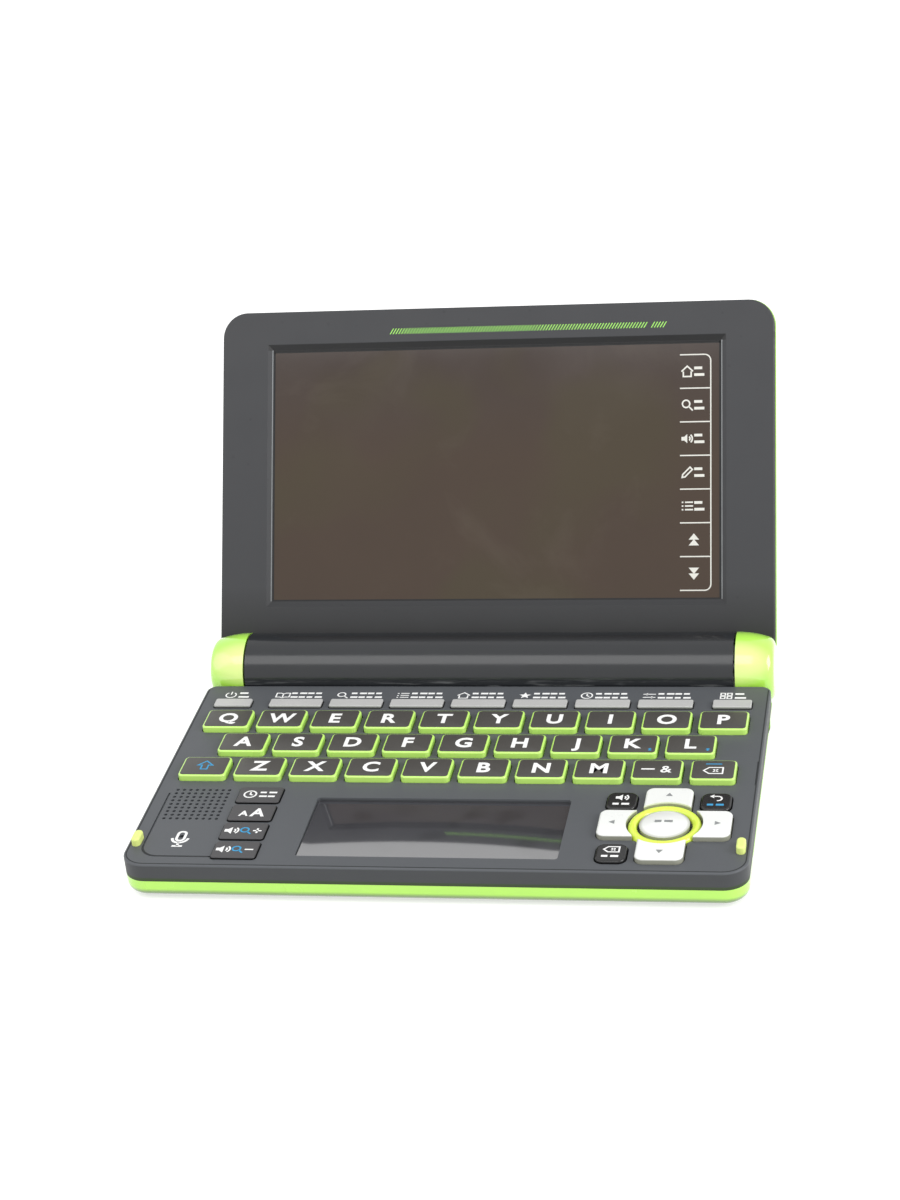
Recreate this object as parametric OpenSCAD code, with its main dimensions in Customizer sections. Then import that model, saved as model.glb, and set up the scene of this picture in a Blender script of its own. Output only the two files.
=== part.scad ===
// Pocket electronic dictionary, open on a table. Millimetres, +Z up, seen from its front along +Y.
// The base lies level on its feet. The lid turns about the X axis of a fat barrel behind the deck.
// Places in the base are measured from its front edge, and in the lid from the hinge axis.

/* [Base shells] */
// Height of the rubber feet under the case
foot_h = 1.0; // [0.8:0.1:1.4]
// Height of the lower shell above the feet, up to the seam
lower_h = 4.6; // [4.5:0.1:5.2]
// Height of the upper shell above the seam
upper_h = 4.6; // [4.5:0.1:5.2]
// Thickness of the side walls
wall_t = 1.6; // [1.4:0.1:1.7]
// Thickness of the lower shell's floor
floor_t = 1.2; // [1.0:0.1:1.3]
// Thickness of the keyboard deck
deck_t = 1.4; // [1.3:0.1:1.5]
// Corner radius of the base, seen from above
base_corner_r = 5.8; // [5.4:0.1:6.4]
// Radius of the two corners by the barrel
rear_corner_r = 2.7; // [2.7:0.1:3.4]
// Rounding of the lower shell's bottom edge
belly_r = 2.6; // [2.0:0.1:2.7]
// Rounding of the deck's top edge
deck_edge_r = 0.4; // [0.3:0.1:0.7]
// Margin beside the outer letter keys
side_margin = 4.37; // [4.2:0.05:5.0]
// Depth of the printed strip behind the function strips
label_strip_d = 8.15; // [8.0:0.05:9.5]

/* [Letter keys] */
// Width of a letter key
key_w = 12.1; // [11.8:0.1:12.6]
// Depth of a letter key
key_d = 9.0; // [8.6:0.1:9.4]
// Gap between keys of one row
key_gap = 1.94; // [1.9:0.02:2.3]
// Gap between rows
row_gap = 2.85; // [2.2:0.05:3.2]
// Height of the letter keys above the deck
key_rise = 1.5; // [1.2:0.1:1.8]
// Travel of the letter keys
key_travel = 0.8; // [0.5:0.05:0.8]
// Corner radius of the keys
key_corner_r = 1.2; // [0.9:0.1:1.5]
// Rounding of the keys' top edge
key_edge_r = 0.4; // [0.2:0.05:0.45]
// Clearance of a key in its opening
key_clear = 0.25; // [0.2:0.05:0.3]
// How far a key's flange reaches under the deck
key_flange = 0.6; // [0.4:0.05:0.6]
// Thickness of the flanges
flange_t = 0.6; // [0.5:0.05:0.6]
// Gap between a flange and the deck
flange_gap = 0.3; // [0.2:0.05:0.3]
// Width of the delete key, narrower at its right
delete_key_w = 10.9; // [10:0.1:11.5]

/* [Function strips] */
// Width of a function strip
strip_w = 13.8; // [13:0.1:14.2]
// Width of the two end strips
end_strip_w = 9.7; // [9:0.1:10]
// Depth of the function strips
strip_d = 3.65; // [3.2:0.05:3.8]
// Gap between the seven middle strips
strip_gap = 2.13; // [2:0.01:2.3]
// Distance of the end strips' middle from the side of the base
end_strip_inset = 9.1; // [8.6:0.1:9.4]
// Gap between the letter keys and the function strips
strip_row_gap = 3.45; // [3.2:0.05:4]
// Height of the strips above the deck
strip_rise = 0.8; // [0.6:0.1:1]
// Travel of the function strips
strip_travel = 0.5; // [0.3:0.05:0.5]

/* [Small keys] */
// Width of the four keys by the left edge
side_key_w = 10.8; // [10:0.1:11]
// Depth of the four keys by the left edge
side_key_d = 7.0; // [6.6:0.1:7]
// Gap between the four keys
side_key_gap = 1.2; // [1.2:0.05:1.3]
// Distance of their middle from the left side
side_key_inset = 27.1; // [26.8:0.1:27.4]
// Distance of the front one from the front edge
side_key_front = 2.95; // [2.9:0.05:3.4]
// Gap between the rear one and the letter keys
side_key_rear_gap = 3.5; // [3.4:0.05:5]
// Height of the four keys above the deck
side_key_rise = 0.5; // [0.4:0.1:0.8]
// Width of the three keys round the arrows
corner_key_w = 7.2; // [7:0.1:7.8]
// Depth of the three keys round the arrows
corner_key_d = 7.5; // [7.2:0.1:7.9]
// Height of these three keys above the deck
corner_key_rise = 0.7; // [0.6:0.1:1.2]
// Travel of all the small keys
small_travel = 0.4; // [0.3:0.05:0.4]
// How far the small keys' flanges reach under the deck
small_flange = 0.25; // [0.2:0.05:0.35]

/* [Arrow keys] */
// Distance of the enter key's middle from the right side
nav_inset = 20.4; // [20.1:0.1:20.6]
// Distance of the enter key's middle from the front edge
nav_y = 18.95; // [18.6:0.05:19.2]
// Radius of the domed enter key
enter_r = 5.9; // [5.6:0.1:6]
// Height of its dome above the deck
enter_rise = 1.8; // [1.6:0.1:2]
// How much the dome stands above its own rim
enter_dome = 0.9; // [0.5:0.1:1.1]
// Inner radius of the green ring
ring_in_r = 6.35; // [6.3:0.05:6.5]
// Outer radius of the green ring
ring_out_r = 8.6; // [8.5:0.05:8.6]
// Height of the ring above the deck
ring_rise = 1.0; // [0.8:0.1:1.2]
// Width of an arrow key
arrow_w = 11.2; // [10.8:0.1:11.4]
// Reach of the arrow keys from the middle of the enter key
arrow_reach = 15.5; // [15.2:0.1:15.6]
// Height of the arrow keys above the deck
arrow_rise = 1.4; // [1.2:0.1:1.6]

/* [Writing panel] */
// Width of the panel's opening in the deck
panel_w = 61.9; // [60:0.1:62]
// Depth of the panel's opening in the deck
panel_d = 25.8; // [25:0.1:26]
// Distance of its middle from the middle of the base, to the left
panel_offset = 1.0; // [0.6:0.1:1.2]
// Distance of its middle from the front edge
panel_y = 17.75; // [17.4:0.05:18]
// Depth of the glass below the deck
panel_recess = 0.9; // [0.8:0.1:0.9]
// Thickness of the glass
panel_glass_t = 0.9; // [0.8:0.1:1]

/* [Deck details] */
// Diameter of a speaker hole
speaker_hole_d = 0.9; // [0.7:0.1:1]
// Pitch of the speaker holes
speaker_pitch = 1.64; // [1.5:0.02:1.7]
// Distance of the speaker's middle from the left side
speaker_inset = 12.2; // [12:0.1:12.3]
// Distance of the speaker's middle from the front edge
speaker_y = 27.1; // [26.9:0.1:27.3]
// Radius of the speaker
speaker_r = 8.0; // [7.5:0.1:8]
// Distance of the microphone hole from the front edge
mic_y = 12.6; // [12:0.1:13]
// Diameter of the microphone hole
mic_hole_d = 1.2; // [0.8:0.1:1.6]
// Distance of the deck bumpers from the front edge
bumper_y = 10.2; // [10:0.1:11]
// Length of a deck bumper
bumper_len = 4.6; // [4:0.1:6]
// Width of a deck bumper
bumper_w = 2.1; // [1.9:0.1:2.4]
// Distance of the bumpers' middle from the side
bumper_inset = 2.1; // [1.9:0.1:2.2]

/* [Hinge] */
// Radius of the barrel and of the caps where they meet it
barrel_r = 9.5; // [9.4:0.05:9.6]
// Gap between the deck and the barrel
seam_gap = 0.3; // [0.25:0.05:0.4]
// Height of the deck above the hinge axis
axis_drop = 0.25; // [0.1:0.05:0.5]
// Length of a green cap
cap_len = 9.6; // [9.2:0.1:10]
// Gap between the barrel and a cap
cap_gap = 0.5; // [0.4:0.1:0.6]
// How much smaller the crowned cap is near its outer end
cap_crown = 1.8; // [1.4:0.1:2]
// Rounding of a cap's outer end
cap_end_r = 2.4; // [2:0.1:2.8]
// Wall of a cap
cap_wall = 2.5; // [2.3:0.1:2.6]
// Diameter of the hinge shafts
shaft_d = 4.0; // [3.8:0.1:4]
// Running clearance of a shaft in its knuckle, on the radius
shaft_clear = 0.03; // [0.02:0.01:0.06]
// Outer diameter of a knuckle
knuckle_d = 8.0; // [7.8:0.1:8]
// Thickness of a hinge leaf
leaf_t = 1.2; // [1:0.1:1.3]

/* [Batteries] */
// Diameter of a cell
cell_d = 14.5; // [14.3:0.1:14.5]
// Length of a cell with its nub
cell_len = 50.5; // [49.5:0.1:50.5]
// Clearance round the cells, on the radius
cell_clear = 0.35; // [0.3:0.05:0.4]
// Room for the contacts at the two ends together
contact_room = 6.0; // [5.6:0.1:6.2]
// Thickness of the battery door
door_t = 1.5; // [1.2:0.1:1.5]

/* [Lid] */
// Angle by which the open lid leans back from upright
lid_lean = 30; // [20:1:40]
// How far the lid stands out beyond the side of the base
lid_overhang = 0.4; // [0.2:0.1:0.6]
// Height of the lid's inner face over the hinge axis when it is shut
lid_face = 2.25; // [2.25:0.05:2.6]
// Thickness of the lid
lid_t = 5.6; // [5.6:0.1:6]
// Thickness of the front frame
bezel_t = 2.05; // [2:0.05:2.2]
// How far the front frame stays inside the back cover's edge
bezel_step = 0.25; // [0.15:0.05:0.4]
// Wall of the lid's back cover
cover_t = 1.4; // [1.2:0.1:1.4]
// Corner radius at the top of the lid
lid_corner_r = 7.0; // [6:0.1:8]
// Rounding of the lid's back edge
lid_back_r = 2.4; // [2:0.1:2.5]
// Rounding of the lid's front edge
lid_edge_r = 0.5; // [0.3:0.1:0.6]
// Distance from the sides of the lid to the window
window_side = 14.2; // [13.5:0.1:16]
// Height of the window at the glass
window_h = 67.3; // [64:0.1:68]
// Distance from the top of the lid to the window
window_top = 10.5; // [10:0.1:12]
// Width of the bevel round the window
window_bevel = 1.5; // [1:0.1:1.8]
// Depth of the glass in the window
window_recess = 0.85; // [0.7:0.05:0.9]
// Thickness of the display glass
window_glass_t = 1.0; // [0.8:0.05:1]

/* [Stylus] */
// Diameter of the stylus
stylus_d = 3.0; // [2.8:0.05:3.1]
// Length of the stylus
stylus_len = 62; // [58:0.5:63]
// Distance of its front end from the front edge of the base
stylus_front = 15.1; // [14:0.1:16]
// Length of its black tip
stylus_tip_len = 4.0; // [3:0.1:6]

/* [Fasteners] */
// Diameter of the screws
screw_d = 2.0; // [1.8:0.1:2]
// Diameter of the screw heads
screw_head_d = 3.8; // [3.4:0.1:3.8]
// Height of the screw heads
screw_head_h = 1.1; // [0.9:0.1:1.2]
// Diameter of the screw bosses
boss_d = 4.6; // [4.4:0.1:4.8]
// Diameter of the front feet
foot_d = 8.0; // [7:0.1:9]
// Diameter of the rear feet, under the barrel
rear_foot_d = 5.0; // [4:0.1:5.5]

/* [Inside] */
// Thickness of the circuit board
board_t = 1.0; // [0.8:0.1:1]
// Thickness of the rubber key mat
mat_t = 0.6; // [0.5:0.05:0.6]
// Gap between a fully pressed key and the rubber dome under it
dome_gap = 0.15; // [0.1:0.05:0.3]
// Bore of the headphone jack
jack_bore_d = 3.6; // [3.5:0.05:3.7]
// Depth of the headphone jack
jack_len = 14; // [12:0.5:14.5]
// Distance of the headphone jack from the rear edge of the deck
jack_inset = 9.5; // [9:0.1:10]
// Distance of the data socket from the front edge
port_y = 55; // [54:0.5:56]
// Distance of the memory card slot from the front edge
card_y = 26; // [24:0.5:30]

/* [Hidden] */
$fn = 64;
// Clearances: of a close fit, of a piece in its pocket, of a screw in its boss and of its head
fit = 0.1;
snug = 0.05;
screw_bite = 0.04;
screw_play = 0.4;
// How far a cutting shape passes the face that it opens, and half of what is surely outside
cut = 0.2;
through = 40;

LETTER_ROWS = [
    ["shift", "z", "x", "c", "v", "b", "n", "m", "dash", "delete"],
    ["a", "s", "d", "f", "g", "h", "j", "k", "l"],
    ["q", "w", "e", "r", "t", "y", "u", "i", "o", "p"]
];
ARROWS = ["right", "up", "left", "down"];

floor_z = foot_h + floor_t;
seam_z = foot_h + lower_h;
deck_z = seam_z + upper_h;
deck_under_z = deck_z - deck_t;
flange_top_z = deck_under_z - flange_gap;
flange_z = flange_top_z - flange_t;

key_pitch = key_w + key_gap;
row_pitch = key_d + row_gap;
half_w = 5 * key_w + 4.5 * key_gap + side_margin;
strip_pitch = strip_w + strip_gap;
front_zone_d = side_key_front + 4 * side_key_d + 3 * side_key_gap + side_key_rear_gap;
strip_y = front_zone_d + 3 * key_d + 2 * row_gap + strip_row_gap + strip_d / 2;
deck_d = strip_y + strip_d / 2 + label_strip_d;
hinge_y = deck_d + seam_gap + barrel_r;
hinge_z = deck_z - axis_drop;

strip_corner_r = 0.5;
side_key_corner_r = 0.8;
soft_corner_r = 2;
fine_edge_r = 0.25;
soft_edge_r = 0.5;
small_overhang = key_clear + small_flange;

nav_x = half_w - nav_inset;
ring_seat = 0.8;
arrow_hub_r = ring_out_r + fit + key_clear;
arrow_mid_r = (arrow_hub_r + arrow_reach) / 2;
corner_key_x = 11.1;
corner_key_gap = 0.35;
corner_key_y = (arrow_w + corner_key_d) / 2 + 2 * small_overhang + corner_key_gap;
front_key_drop = 1.15;
side_key_x = -half_w + side_key_inset;
speaker_x = -half_w + speaker_inset;
end_strip_x = half_w - end_strip_inset;
panel_x = -panel_offset;
panel_glass_z = deck_z - panel_recess - panel_glass_t;
panel_rebate = 0.8;
panel_rebate_h = deck_t - panel_recess;
panel_corner_r = 0.8;
lcd_margin = 0.95;
groove_inset = 3.7;
groove_w = 0.5;
groove_depth = 0.35;
groove_bend = 4.5;
groove_run = 24;
bumper_seat = 0.7;
bumper_rise = lid_face - axis_drop - fit;

lid_half_w = half_w + lid_overhang;
lid_reach = hinge_y;
lid_back = lid_face + lid_t;
lid_foot = 6.0;
bezel_back = lid_face + bezel_t;
window_w = 2 * (lid_half_w - window_side);
window_v = lid_reach - window_top - window_h / 2;
window_rebate = 0.9;
glass_front = lid_face + window_recess;
lcd_front = glass_front + window_glass_t + fit;
lcd_back = lid_back - cover_t - 0.4;
lcd_pocket = 0.6;
tail_x = 34;
tail_w = 16;
cap_in = lid_half_w - cap_len;
barrel_half = cap_in - cap_gap;
knuckle_gap = 0.8;
knuckle_len = cap_len - 3.3;
knuckle_x = cap_in + knuckle_gap;
leaf_top = 26;
leaf_screw_in = 4;
leaf_screw_pitch = 7;
leaf_screws = [leaf_top - leaf_screw_in - leaf_screw_pitch, leaf_top - leaf_screw_in];
lid_screw_head_h = 0.7;
lid_screw_bite = 1.3;

origin_y = -(hinge_y + (lid_reach - lid_back_r) * sin(lid_lean)
    + (lid_back - lid_back_r) * cos(lid_lean) + lid_back_r) / 2;

bore_r = cell_d / 2 + cell_clear;
bay_len = 2 * cell_len + contact_room;
cell_gap = 0.05;
cell_nub_h = 1.4;
cell_nub_r = 2.75;
cell_left = -cell_len - 0.5;
contact_t = 0.4;
door_half = cell_d / 2 + snug;
door_clear = 0.15;
grip_pitch = 1.6;
grip_w = 0.8;
grip_depth = 0.35;
grip_inset = 12;
shaft_seat = barrel_half - bay_len / 2 - 3.4;

board_z = seam_z - board_t;
mat_z = seam_z;
dome_z = mat_z + mat_t;
dome_foot_r = 2.2;
dome_top_r = 1.5;
lip_h = 1.0;
lip_t = 0.8;
lip_rear = 16;
lip_in = wall_t + fit + lip_t;
sheet_gap = 0.3;
post_d = 4.0;
foot_sink = 0.4;
barrel_tab_t = 1.4;
barrel_tab_z = seam_z + 0.15;
barrel_tab_reach = 5.5;
barrel_tab_y = deck_d - barrel_tab_reach;
sheet_rear = barrel_tab_y - 0.9;

stylus_x = half_w - stylus_d / 2 - 0.15;
stylus_z = seam_z - stylus_d / 2 - 0.2;
stylus_wall_t = 1;
stylus_wall_x = stylus_x - stylus_d / 2 - 0.3 - stylus_wall_t;
stylus_roof_t = 0.8;
stylus_point = 1.5;
stylus_y0 = stylus_front;
stylus_y1 = stylus_front + stylus_len;

socket_x = -half_w + wall_t + fit;
jack_y = deck_d - jack_inset;
jack_z = seam_z - 0.7;
jack_w = 5.6;
jack_h = 4.6;
jack_hole_r = 2.5;
port_w = 7.6;
port_h = 2.6;
port_len = 6.9;
port_wall = 0.35;
card_w = 12;
card_h = 1.4;
card_len = 13.3;
card_wall = 0.3;
mic_r = 2.2;
mic_h = 2;
chip_h = 1.2;
// Each chip's place as shares of the half width and the depth of the base, and its side
chips = [[-0.31, 0.69, 14], [0.15, 0.69, 12], [0.5, 0.64, 10], [0.05, 0.38, 7]];

case_screw_in = 7.1;
case_screw_y = 6.5;
panel_screw_gap = 4.4;
panel_screw_y = 8;
front_screws = [
    [-half_w + case_screw_in, case_screw_y], [half_w - case_screw_in, case_screw_y],
    [panel_x - panel_w / 2 - panel_screw_gap, panel_screw_y],
    [panel_x + panel_w / 2 + panel_screw_gap, panel_screw_y]
];
rear_screw_x = 0.73 * half_w;
rear_screw_in = 3.7;
rear_screws = [for (share = [-1, -0.37, 0.37, 1]) [share * rear_screw_x, deck_d - rear_screw_in]];
barrel_tab_half = rear_screw_x + 3.3;
screws = concat(front_screws, rear_screws);
foot_in = 11.6;
foot_y = 17;
front_feet = [for (side = [-1, 1]) [side * (half_w - foot_in), foot_y]];
rear_foot_x = (bay_len / 2 + barrel_half) / 2;
rear_foot_top = hinge_z - barrel_r + 1.2;
board_posts = [for (x = [-0.76, -0.27, 0.27, 0.76], y = [0.42, 0.84]) [x * half_w, y * deck_d]];

// ---- placing ----

// Moves what is measured from the base's front edge into the part's own frame
module in_base() translate([0, origin_y, 0]) children();

// The open lid's own frame: X along the hinge, Y towards the lid's back, Z up the lid
module in_lid() in_base() translate([0, hinge_y, hinge_z]) rotate([-lid_lean, 0, 0]) children();

// Turns a solid that stands on the XY plane so that its height runs to the front of the lid
module on_lid_back(y) translate([0, y, 0]) rotate([90, 0, 0]) children();

// The same, with its height running to the back of the lid
module on_lid_front(y) translate([0, y, 0]) mirror([0, 1, 0]) rotate([90, 0, 0]) children();

module both_sides() for (side = [0, 1]) mirror([side, 0, 0]) children();

// A solid of revolution about X from a section drawn as x along the axis and y as the radius
module about_x() rotate([90, 0, 90]) rotate_extrude() rotate([0, 0, 90]) mirror([0, 1]) children();

module rod_x(x0, x1, r) translate([x0, 0, 0]) rotate([0, 90, 0]) cylinder(h = x1 - x0, r = r);

module block(x0, x1, y0, y1, z0, z1) translate([x0, y0, z0]) cube([x1 - x0, y1 - y0, z1 - z0]);

// ---- shapes ----

// Rectangle with round corners, about the origin
module round_rect(w, d, r) {
    square([w - 2 * r, d], center = true);
    square([w, d - 2 * r], center = true);
    for (sx = [-1, 1], sy = [-1, 1]) translate([sx * (w / 2 - r), sy * (d / 2 - r)]) circle(r);
}

// Section of a rim that is reach wide and h high, with its lower outer corner rounded
module rim_section(reach, h, r) {
    square([reach - r, h]);
    translate([0, r]) square([reach, h - r]);
    intersection() {
        translate([reach - r, r]) circle(r);
        translate([reach - r, 0]) square(r);
    }
}

// Slab with round corners and a rounded lower edge, standing on the XY plane
module soft_slab(w, d, h, corner_r, edge_r) {
    translate([0, 0, h / 2]) cube([w - 2 * corner_r, d - 2 * corner_r, h], center = true);
    for (sx = [-1, 1], sy = [-1, 1])
        translate([sx * (w / 2 - corner_r), sy * (d / 2 - corner_r), 0])
            rotate_extrude() rim_section(corner_r, h, edge_r);
    for (turn = [0:3]) {
        side = turn % 2 == 0 ? w : d;
        run = (turn % 2 == 0 ? d : w) - 2 * corner_r;
        rotate([0, 0, 90 * turn])
            translate([side / 2 - corner_r, run / 2, 0])
                rotate([90, 0, 0]) linear_extrude(run) rim_section(corner_r, h, edge_r);
    }
}

// The same slab with smaller corners at its rear, joined across its middle
module two_corner_slab(w, d, h, corner_r, rear_r, edge_r) {
    intersection() {
        soft_slab(w, d, h, corner_r, edge_r);
        block(-w, w, -d, 0, -1, h + 1);
    }
    intersection() {
        soft_slab(w, d, h, rear_r, edge_r);
        block(-w, w, 0, d, -1, h + 1);
    }
}

// Slab with its rounded edge on top
module pillow(w, d, h, corner_r, edge_r)
    translate([0, 0, h]) mirror([0, 0, 1]) soft_slab(w, d, h, corner_r, edge_r);

module post(at, d, z0, z1) translate([at[0], at[1], z0]) cylinder(h = z1 - z0, d = d);

// ---- base ----

module lower_case() color("yellowgreen") in_base() difference() {
    union() {
        difference() {
            lower_outline(0);
            lower_outline(wall_t);
        }
        case_lip();
        for (at = screws) post(at, boss_d, floor_z - cut, seam_z);
        for (at = board_posts) post(at, post_d, floor_z - cut, board_z);
        block(stylus_wall_x, stylus_wall_x + stylus_wall_t, stylus_y0 - 2, stylus_y1 + 2,
            floor_z - cut, seam_z);
    }
    translate([0, hinge_y, hinge_z]) rod_x(-through * 2, through * 2, barrel_r + seam_gap);
    block(stylus_wall_x + stylus_wall_t, half_w + 1, stylus_y0 - fit, stylus_y1 + fit,
        floor_z + snug, deck_z);
    for (at = screws) {
        post(at, screw_d + screw_play, 0, seam_z + lip_h);
        post(at, screw_head_d + screw_play, 0, foot_h + foot_sink + screw_head_h);
    }
    for (at = front_feet) post(at, foot_d + 2 * fit, 0, foot_h + foot_sink);
    jack_cut();
    port_cut();
    card_cut();
}

// The lower shell's outer form, or its hollow at the given wall
module lower_outline(inset) {
    rear = deck_d + (inset == 0 ? seam_gap + 1.3 : -inset);
    depth = rear - inset;
    z = inset == 0 ? foot_h : floor_z;
    translate([0, (inset + rear) / 2, z])
        if (inset == 0) two_corner_slab(2 * half_w, depth, lower_h, base_corner_r, rear_corner_r, belly_r);
        else soft_slab(2 * (half_w - inset), depth, seam_z - z + cut, base_corner_r - inset, belly_r - wall_t);
}

// Tongue on the lower shell's rim that reaches up into the upper shell, on the front and the sides
module case_lip() intersection() {
    union() {
        translate([0, 0, seam_z - wall_t]) linear_extrude(wall_t) lip_plan(wall_t - cut);
        translate([0, 0, seam_z - cut]) linear_extrude(cut + lip_h) lip_plan(wall_t + fit);
    }
    block(-half_w, half_w, 0, deck_d - lip_rear, 0, deck_z);
}

// The tongue seen from above, its outer side at the given distance inside the case
module lip_plan(outer) translate([0, deck_d / 2]) difference() {
    round_rect(2 * (half_w - outer), deck_d - 2 * outer, base_corner_r - outer);
    round_rect(2 * (half_w - lip_in), deck_d - 2 * lip_in, base_corner_r - lip_in);
}

module upper_case() color("#55575a") in_base() difference() {
    union() {
        difference() {
            translate([0, deck_d / 2, deck_z]) mirror([0, 0, 1])
                two_corner_slab(2 * half_w, deck_d, upper_h, base_corner_r, rear_corner_r, deck_edge_r);
            translate([0, deck_d / 2, seam_z - cut]) linear_extrude(deck_under_z - seam_z + cut)
                round_rect(2 * (half_w - wall_t), deck_d - 2 * wall_t, base_corner_r - wall_t);
        }
        for (at = front_screws) post(at, boss_d, seam_z, deck_under_z + cut);
        for (at = rear_screws) post(at, boss_d, barrel_tab_z + barrel_tab_t + snug, deck_under_z + cut);
        block(stylus_wall_x, half_w - wall_t + cut, stylus_y0 + fit, stylus_y1 - stylus_tip_len,
            seam_z, seam_z + stylus_roof_t);
    }
    for (at = screws) post(at, screw_d + screw_bite, 0, deck_under_z + cut);
    key_openings();
    panel_opening();
    deck_details();
    translate([nav_x, nav_y, deck_z - ring_seat]) difference() {
        cylinder(h = ring_seat + 1, r = ring_out_r + fit);
        translate([0, 0, -1]) cylinder(h = ring_seat + 3, r = ring_in_r - fit);
    }
    block(-barrel_tab_half - seam_gap, barrel_tab_half + seam_gap, deck_d - wall_t - 1, deck_d + 1,
        seam_z - 1, barrel_tab_z + barrel_tab_t + fit);
    jack_cut();
    port_cut();
}

// Every opening through the deck that a key comes through
module key_openings() translate([0, 0, deck_under_z - cut]) linear_extrude(deck_t + 2 * cut) {
    for (row = [0:2], i = [0:len(LETTER_ROWS[row]) - 1])
        translate(letter_at(row, i)) key_plan(letter_w(row, i), key_d, key_clear);
    for (i = [0:8]) translate(strip_at(i)) key_plan(strip_width(i), strip_d, key_clear, strip_corner_r);
    for (y = side_key_places()) translate([side_key_x, y])
        key_plan(side_key_w, side_key_d, key_clear, side_key_corner_r);
    for (at = corner_key_places()) translate(at)
        key_plan(corner_key_w, corner_key_d, key_clear, soft_corner_r);
    translate([nav_x, nav_y]) {
        circle(enter_r + key_clear);
        for (turn = [0:3]) rotate(90 * turn) arrow_plan(key_clear, key_clear);
    }
}

// A key seen from above, grown on every side by the given amount
module key_plan(w, d, grow, r = key_corner_r) round_rect(w + 2 * grow, d + 2 * grow, r + grow);

// An arrow key seen from above, pointing along +X from the middle of the enter key
module arrow_plan(grow, inner_grow) intersection() {
    difference() {
        translate([arrow_reach / 2, 0])
            round_rect(arrow_reach + 2 * grow, arrow_w + 2 * grow, soft_corner_r + grow);
        circle(arrow_hub_r - inner_grow);
    }
    rotate(-45) translate([fit, fit]) square(arrow_reach * 2);
}

// The panel's opening, and the rebate under the deck that its glass sits in
module panel_opening() {
    translate([panel_x, panel_y, 0]) {
        translate([0, 0, deck_under_z - cut]) linear_extrude(deck_t + 2 * cut)
            round_rect(panel_w, panel_d, panel_corner_r);
        translate([0, 0, deck_under_z - cut]) linear_extrude(panel_rebate_h + cut) square(
            [panel_w + 2 * panel_rebate + 2 * fit, panel_d + 2 * panel_rebate + 2 * fit], center = true);
    }
}

// Speaker and microphone holes, bumper pockets, and the fine grooves in the deck
module deck_details() {
    translate([speaker_x, speaker_y, deck_under_z - 1]) for (i = [-4:4], j = [-4:4])
        translate([i * speaker_pitch, j * speaker_pitch, 0])
            cylinder(h = deck_t + 2, d = speaker_hole_d, $fn = 16);
    post([speaker_x, mic_y], mic_hole_d, deck_under_z - 1, deck_z + 1);
    both_sides() translate([half_w - bumper_inset, bumper_y, deck_z - bumper_seat])
        linear_extrude(1) round_rect(bumper_w + 2 * snug, bumper_len + 2 * snug, bumper_w / 2);
    translate([0, 0, deck_z - groove_depth]) linear_extrude(1) {
        translate([groove_inset - half_w, groove_inset]) {
            translate([0, groove_bend]) square([groove_w, groove_run]);
            translate([groove_bend, 0]) square([side_key_inset - groove_inset - groove_bend - 2, groove_w]);
            intersection() {
                translate([groove_bend, groove_bend]) difference() {
                    circle(groove_bend);
                    circle(groove_bend - groove_w);
                }
                square(groove_bend);
            }
        }
        translate([half_w - 2 * groove_w, front_zone_d]) square([groove_w, key_d + key_gap]);
    }
}

// Hole for the headphone plug's collar
module jack_cut() translate([0, jack_y, jack_z]) rod_x(-half_w - 1, -half_w + lip_in + fit, jack_hole_r);

// Window of the data socket, through the upper shell and the lower shell's tongue
module port_cut() block(-half_w - 1, -half_w + lip_in + fit, port_y - port_w / 2 - fit,
    port_y + port_w / 2 + fit, seam_z - fit, seam_z + port_h + fit);

// Slot of the memory card
module card_cut() block(-half_w - 1, -half_w + lip_in + fit, card_y - card_w / 2 - fit,
    card_y + card_w / 2 + fit, board_z - card_h - fit, board_z + fit);

// ---- battery barrel ----

module battery_barrel() color("#2c2d2f") in_base() difference() {
    union() {
        translate([0, hinge_y, hinge_z]) rod_x(-barrel_half, barrel_half, barrel_r);
        block(-barrel_tab_half, barrel_tab_half, barrel_tab_y, hinge_y - bore_r, barrel_tab_z,
            barrel_tab_z + barrel_tab_t);
    }
    translate([0, hinge_y, hinge_z]) {
        rod_x(-bay_len / 2, bay_len / 2, bore_r);
        door_shape(bay_len / 2, door_half + door_clear, 0, barrel_r + 1);
        both_sides() rod_x(barrel_half - shaft_seat, barrel_half + 1, shaft_d / 2);
    }
    for (at = rear_screws) post(at, screw_d + screw_play, seam_z, deck_z);
    for (x = [-1, 1]) post([x * rear_foot_x, hinge_y], rear_foot_d + 2 * fit, 0, rear_foot_top);
}

// The part of a ring about the hinge axis that lies under it, between two upright planes
module door_shape(half_len, half_y, in_r, out_r) intersection() {
    difference() {
        rod_x(-half_len, half_len, out_r);
        if (in_r > 0) rod_x(-half_len - 1, half_len + 1, in_r);
    }
    block(-half_len, half_len, -half_y, half_y, -out_r, 0);
}

module battery_door() color("#2c2d2f") in_base() translate([0, hinge_y, hinge_z]) difference() {
    door_shape(bay_len / 2 - 2 * door_clear, door_half, barrel_r - door_t, barrel_r);
    for (i = [-3:3]) translate([bay_len / 2 - grip_inset + i * grip_pitch, 0, -barrel_r])
        block(-grip_w / 2, grip_w / 2, -door_half / 2, door_half / 2, -1, grip_depth);
}

module battery_cells() color("silver") in_base() translate([cell_left, hinge_y, hinge_z])
    for (i = [0, 1]) translate([i * (cell_len + cell_gap), 0, 0]) {
        rod_x(0.3, cell_len - cell_nub_h, cell_d / 2);
        rod_x(0, 0.3, cell_d / 2 - 1);
        rod_x(cell_len - cell_nub_h, cell_len, cell_nub_r);
    }

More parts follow.
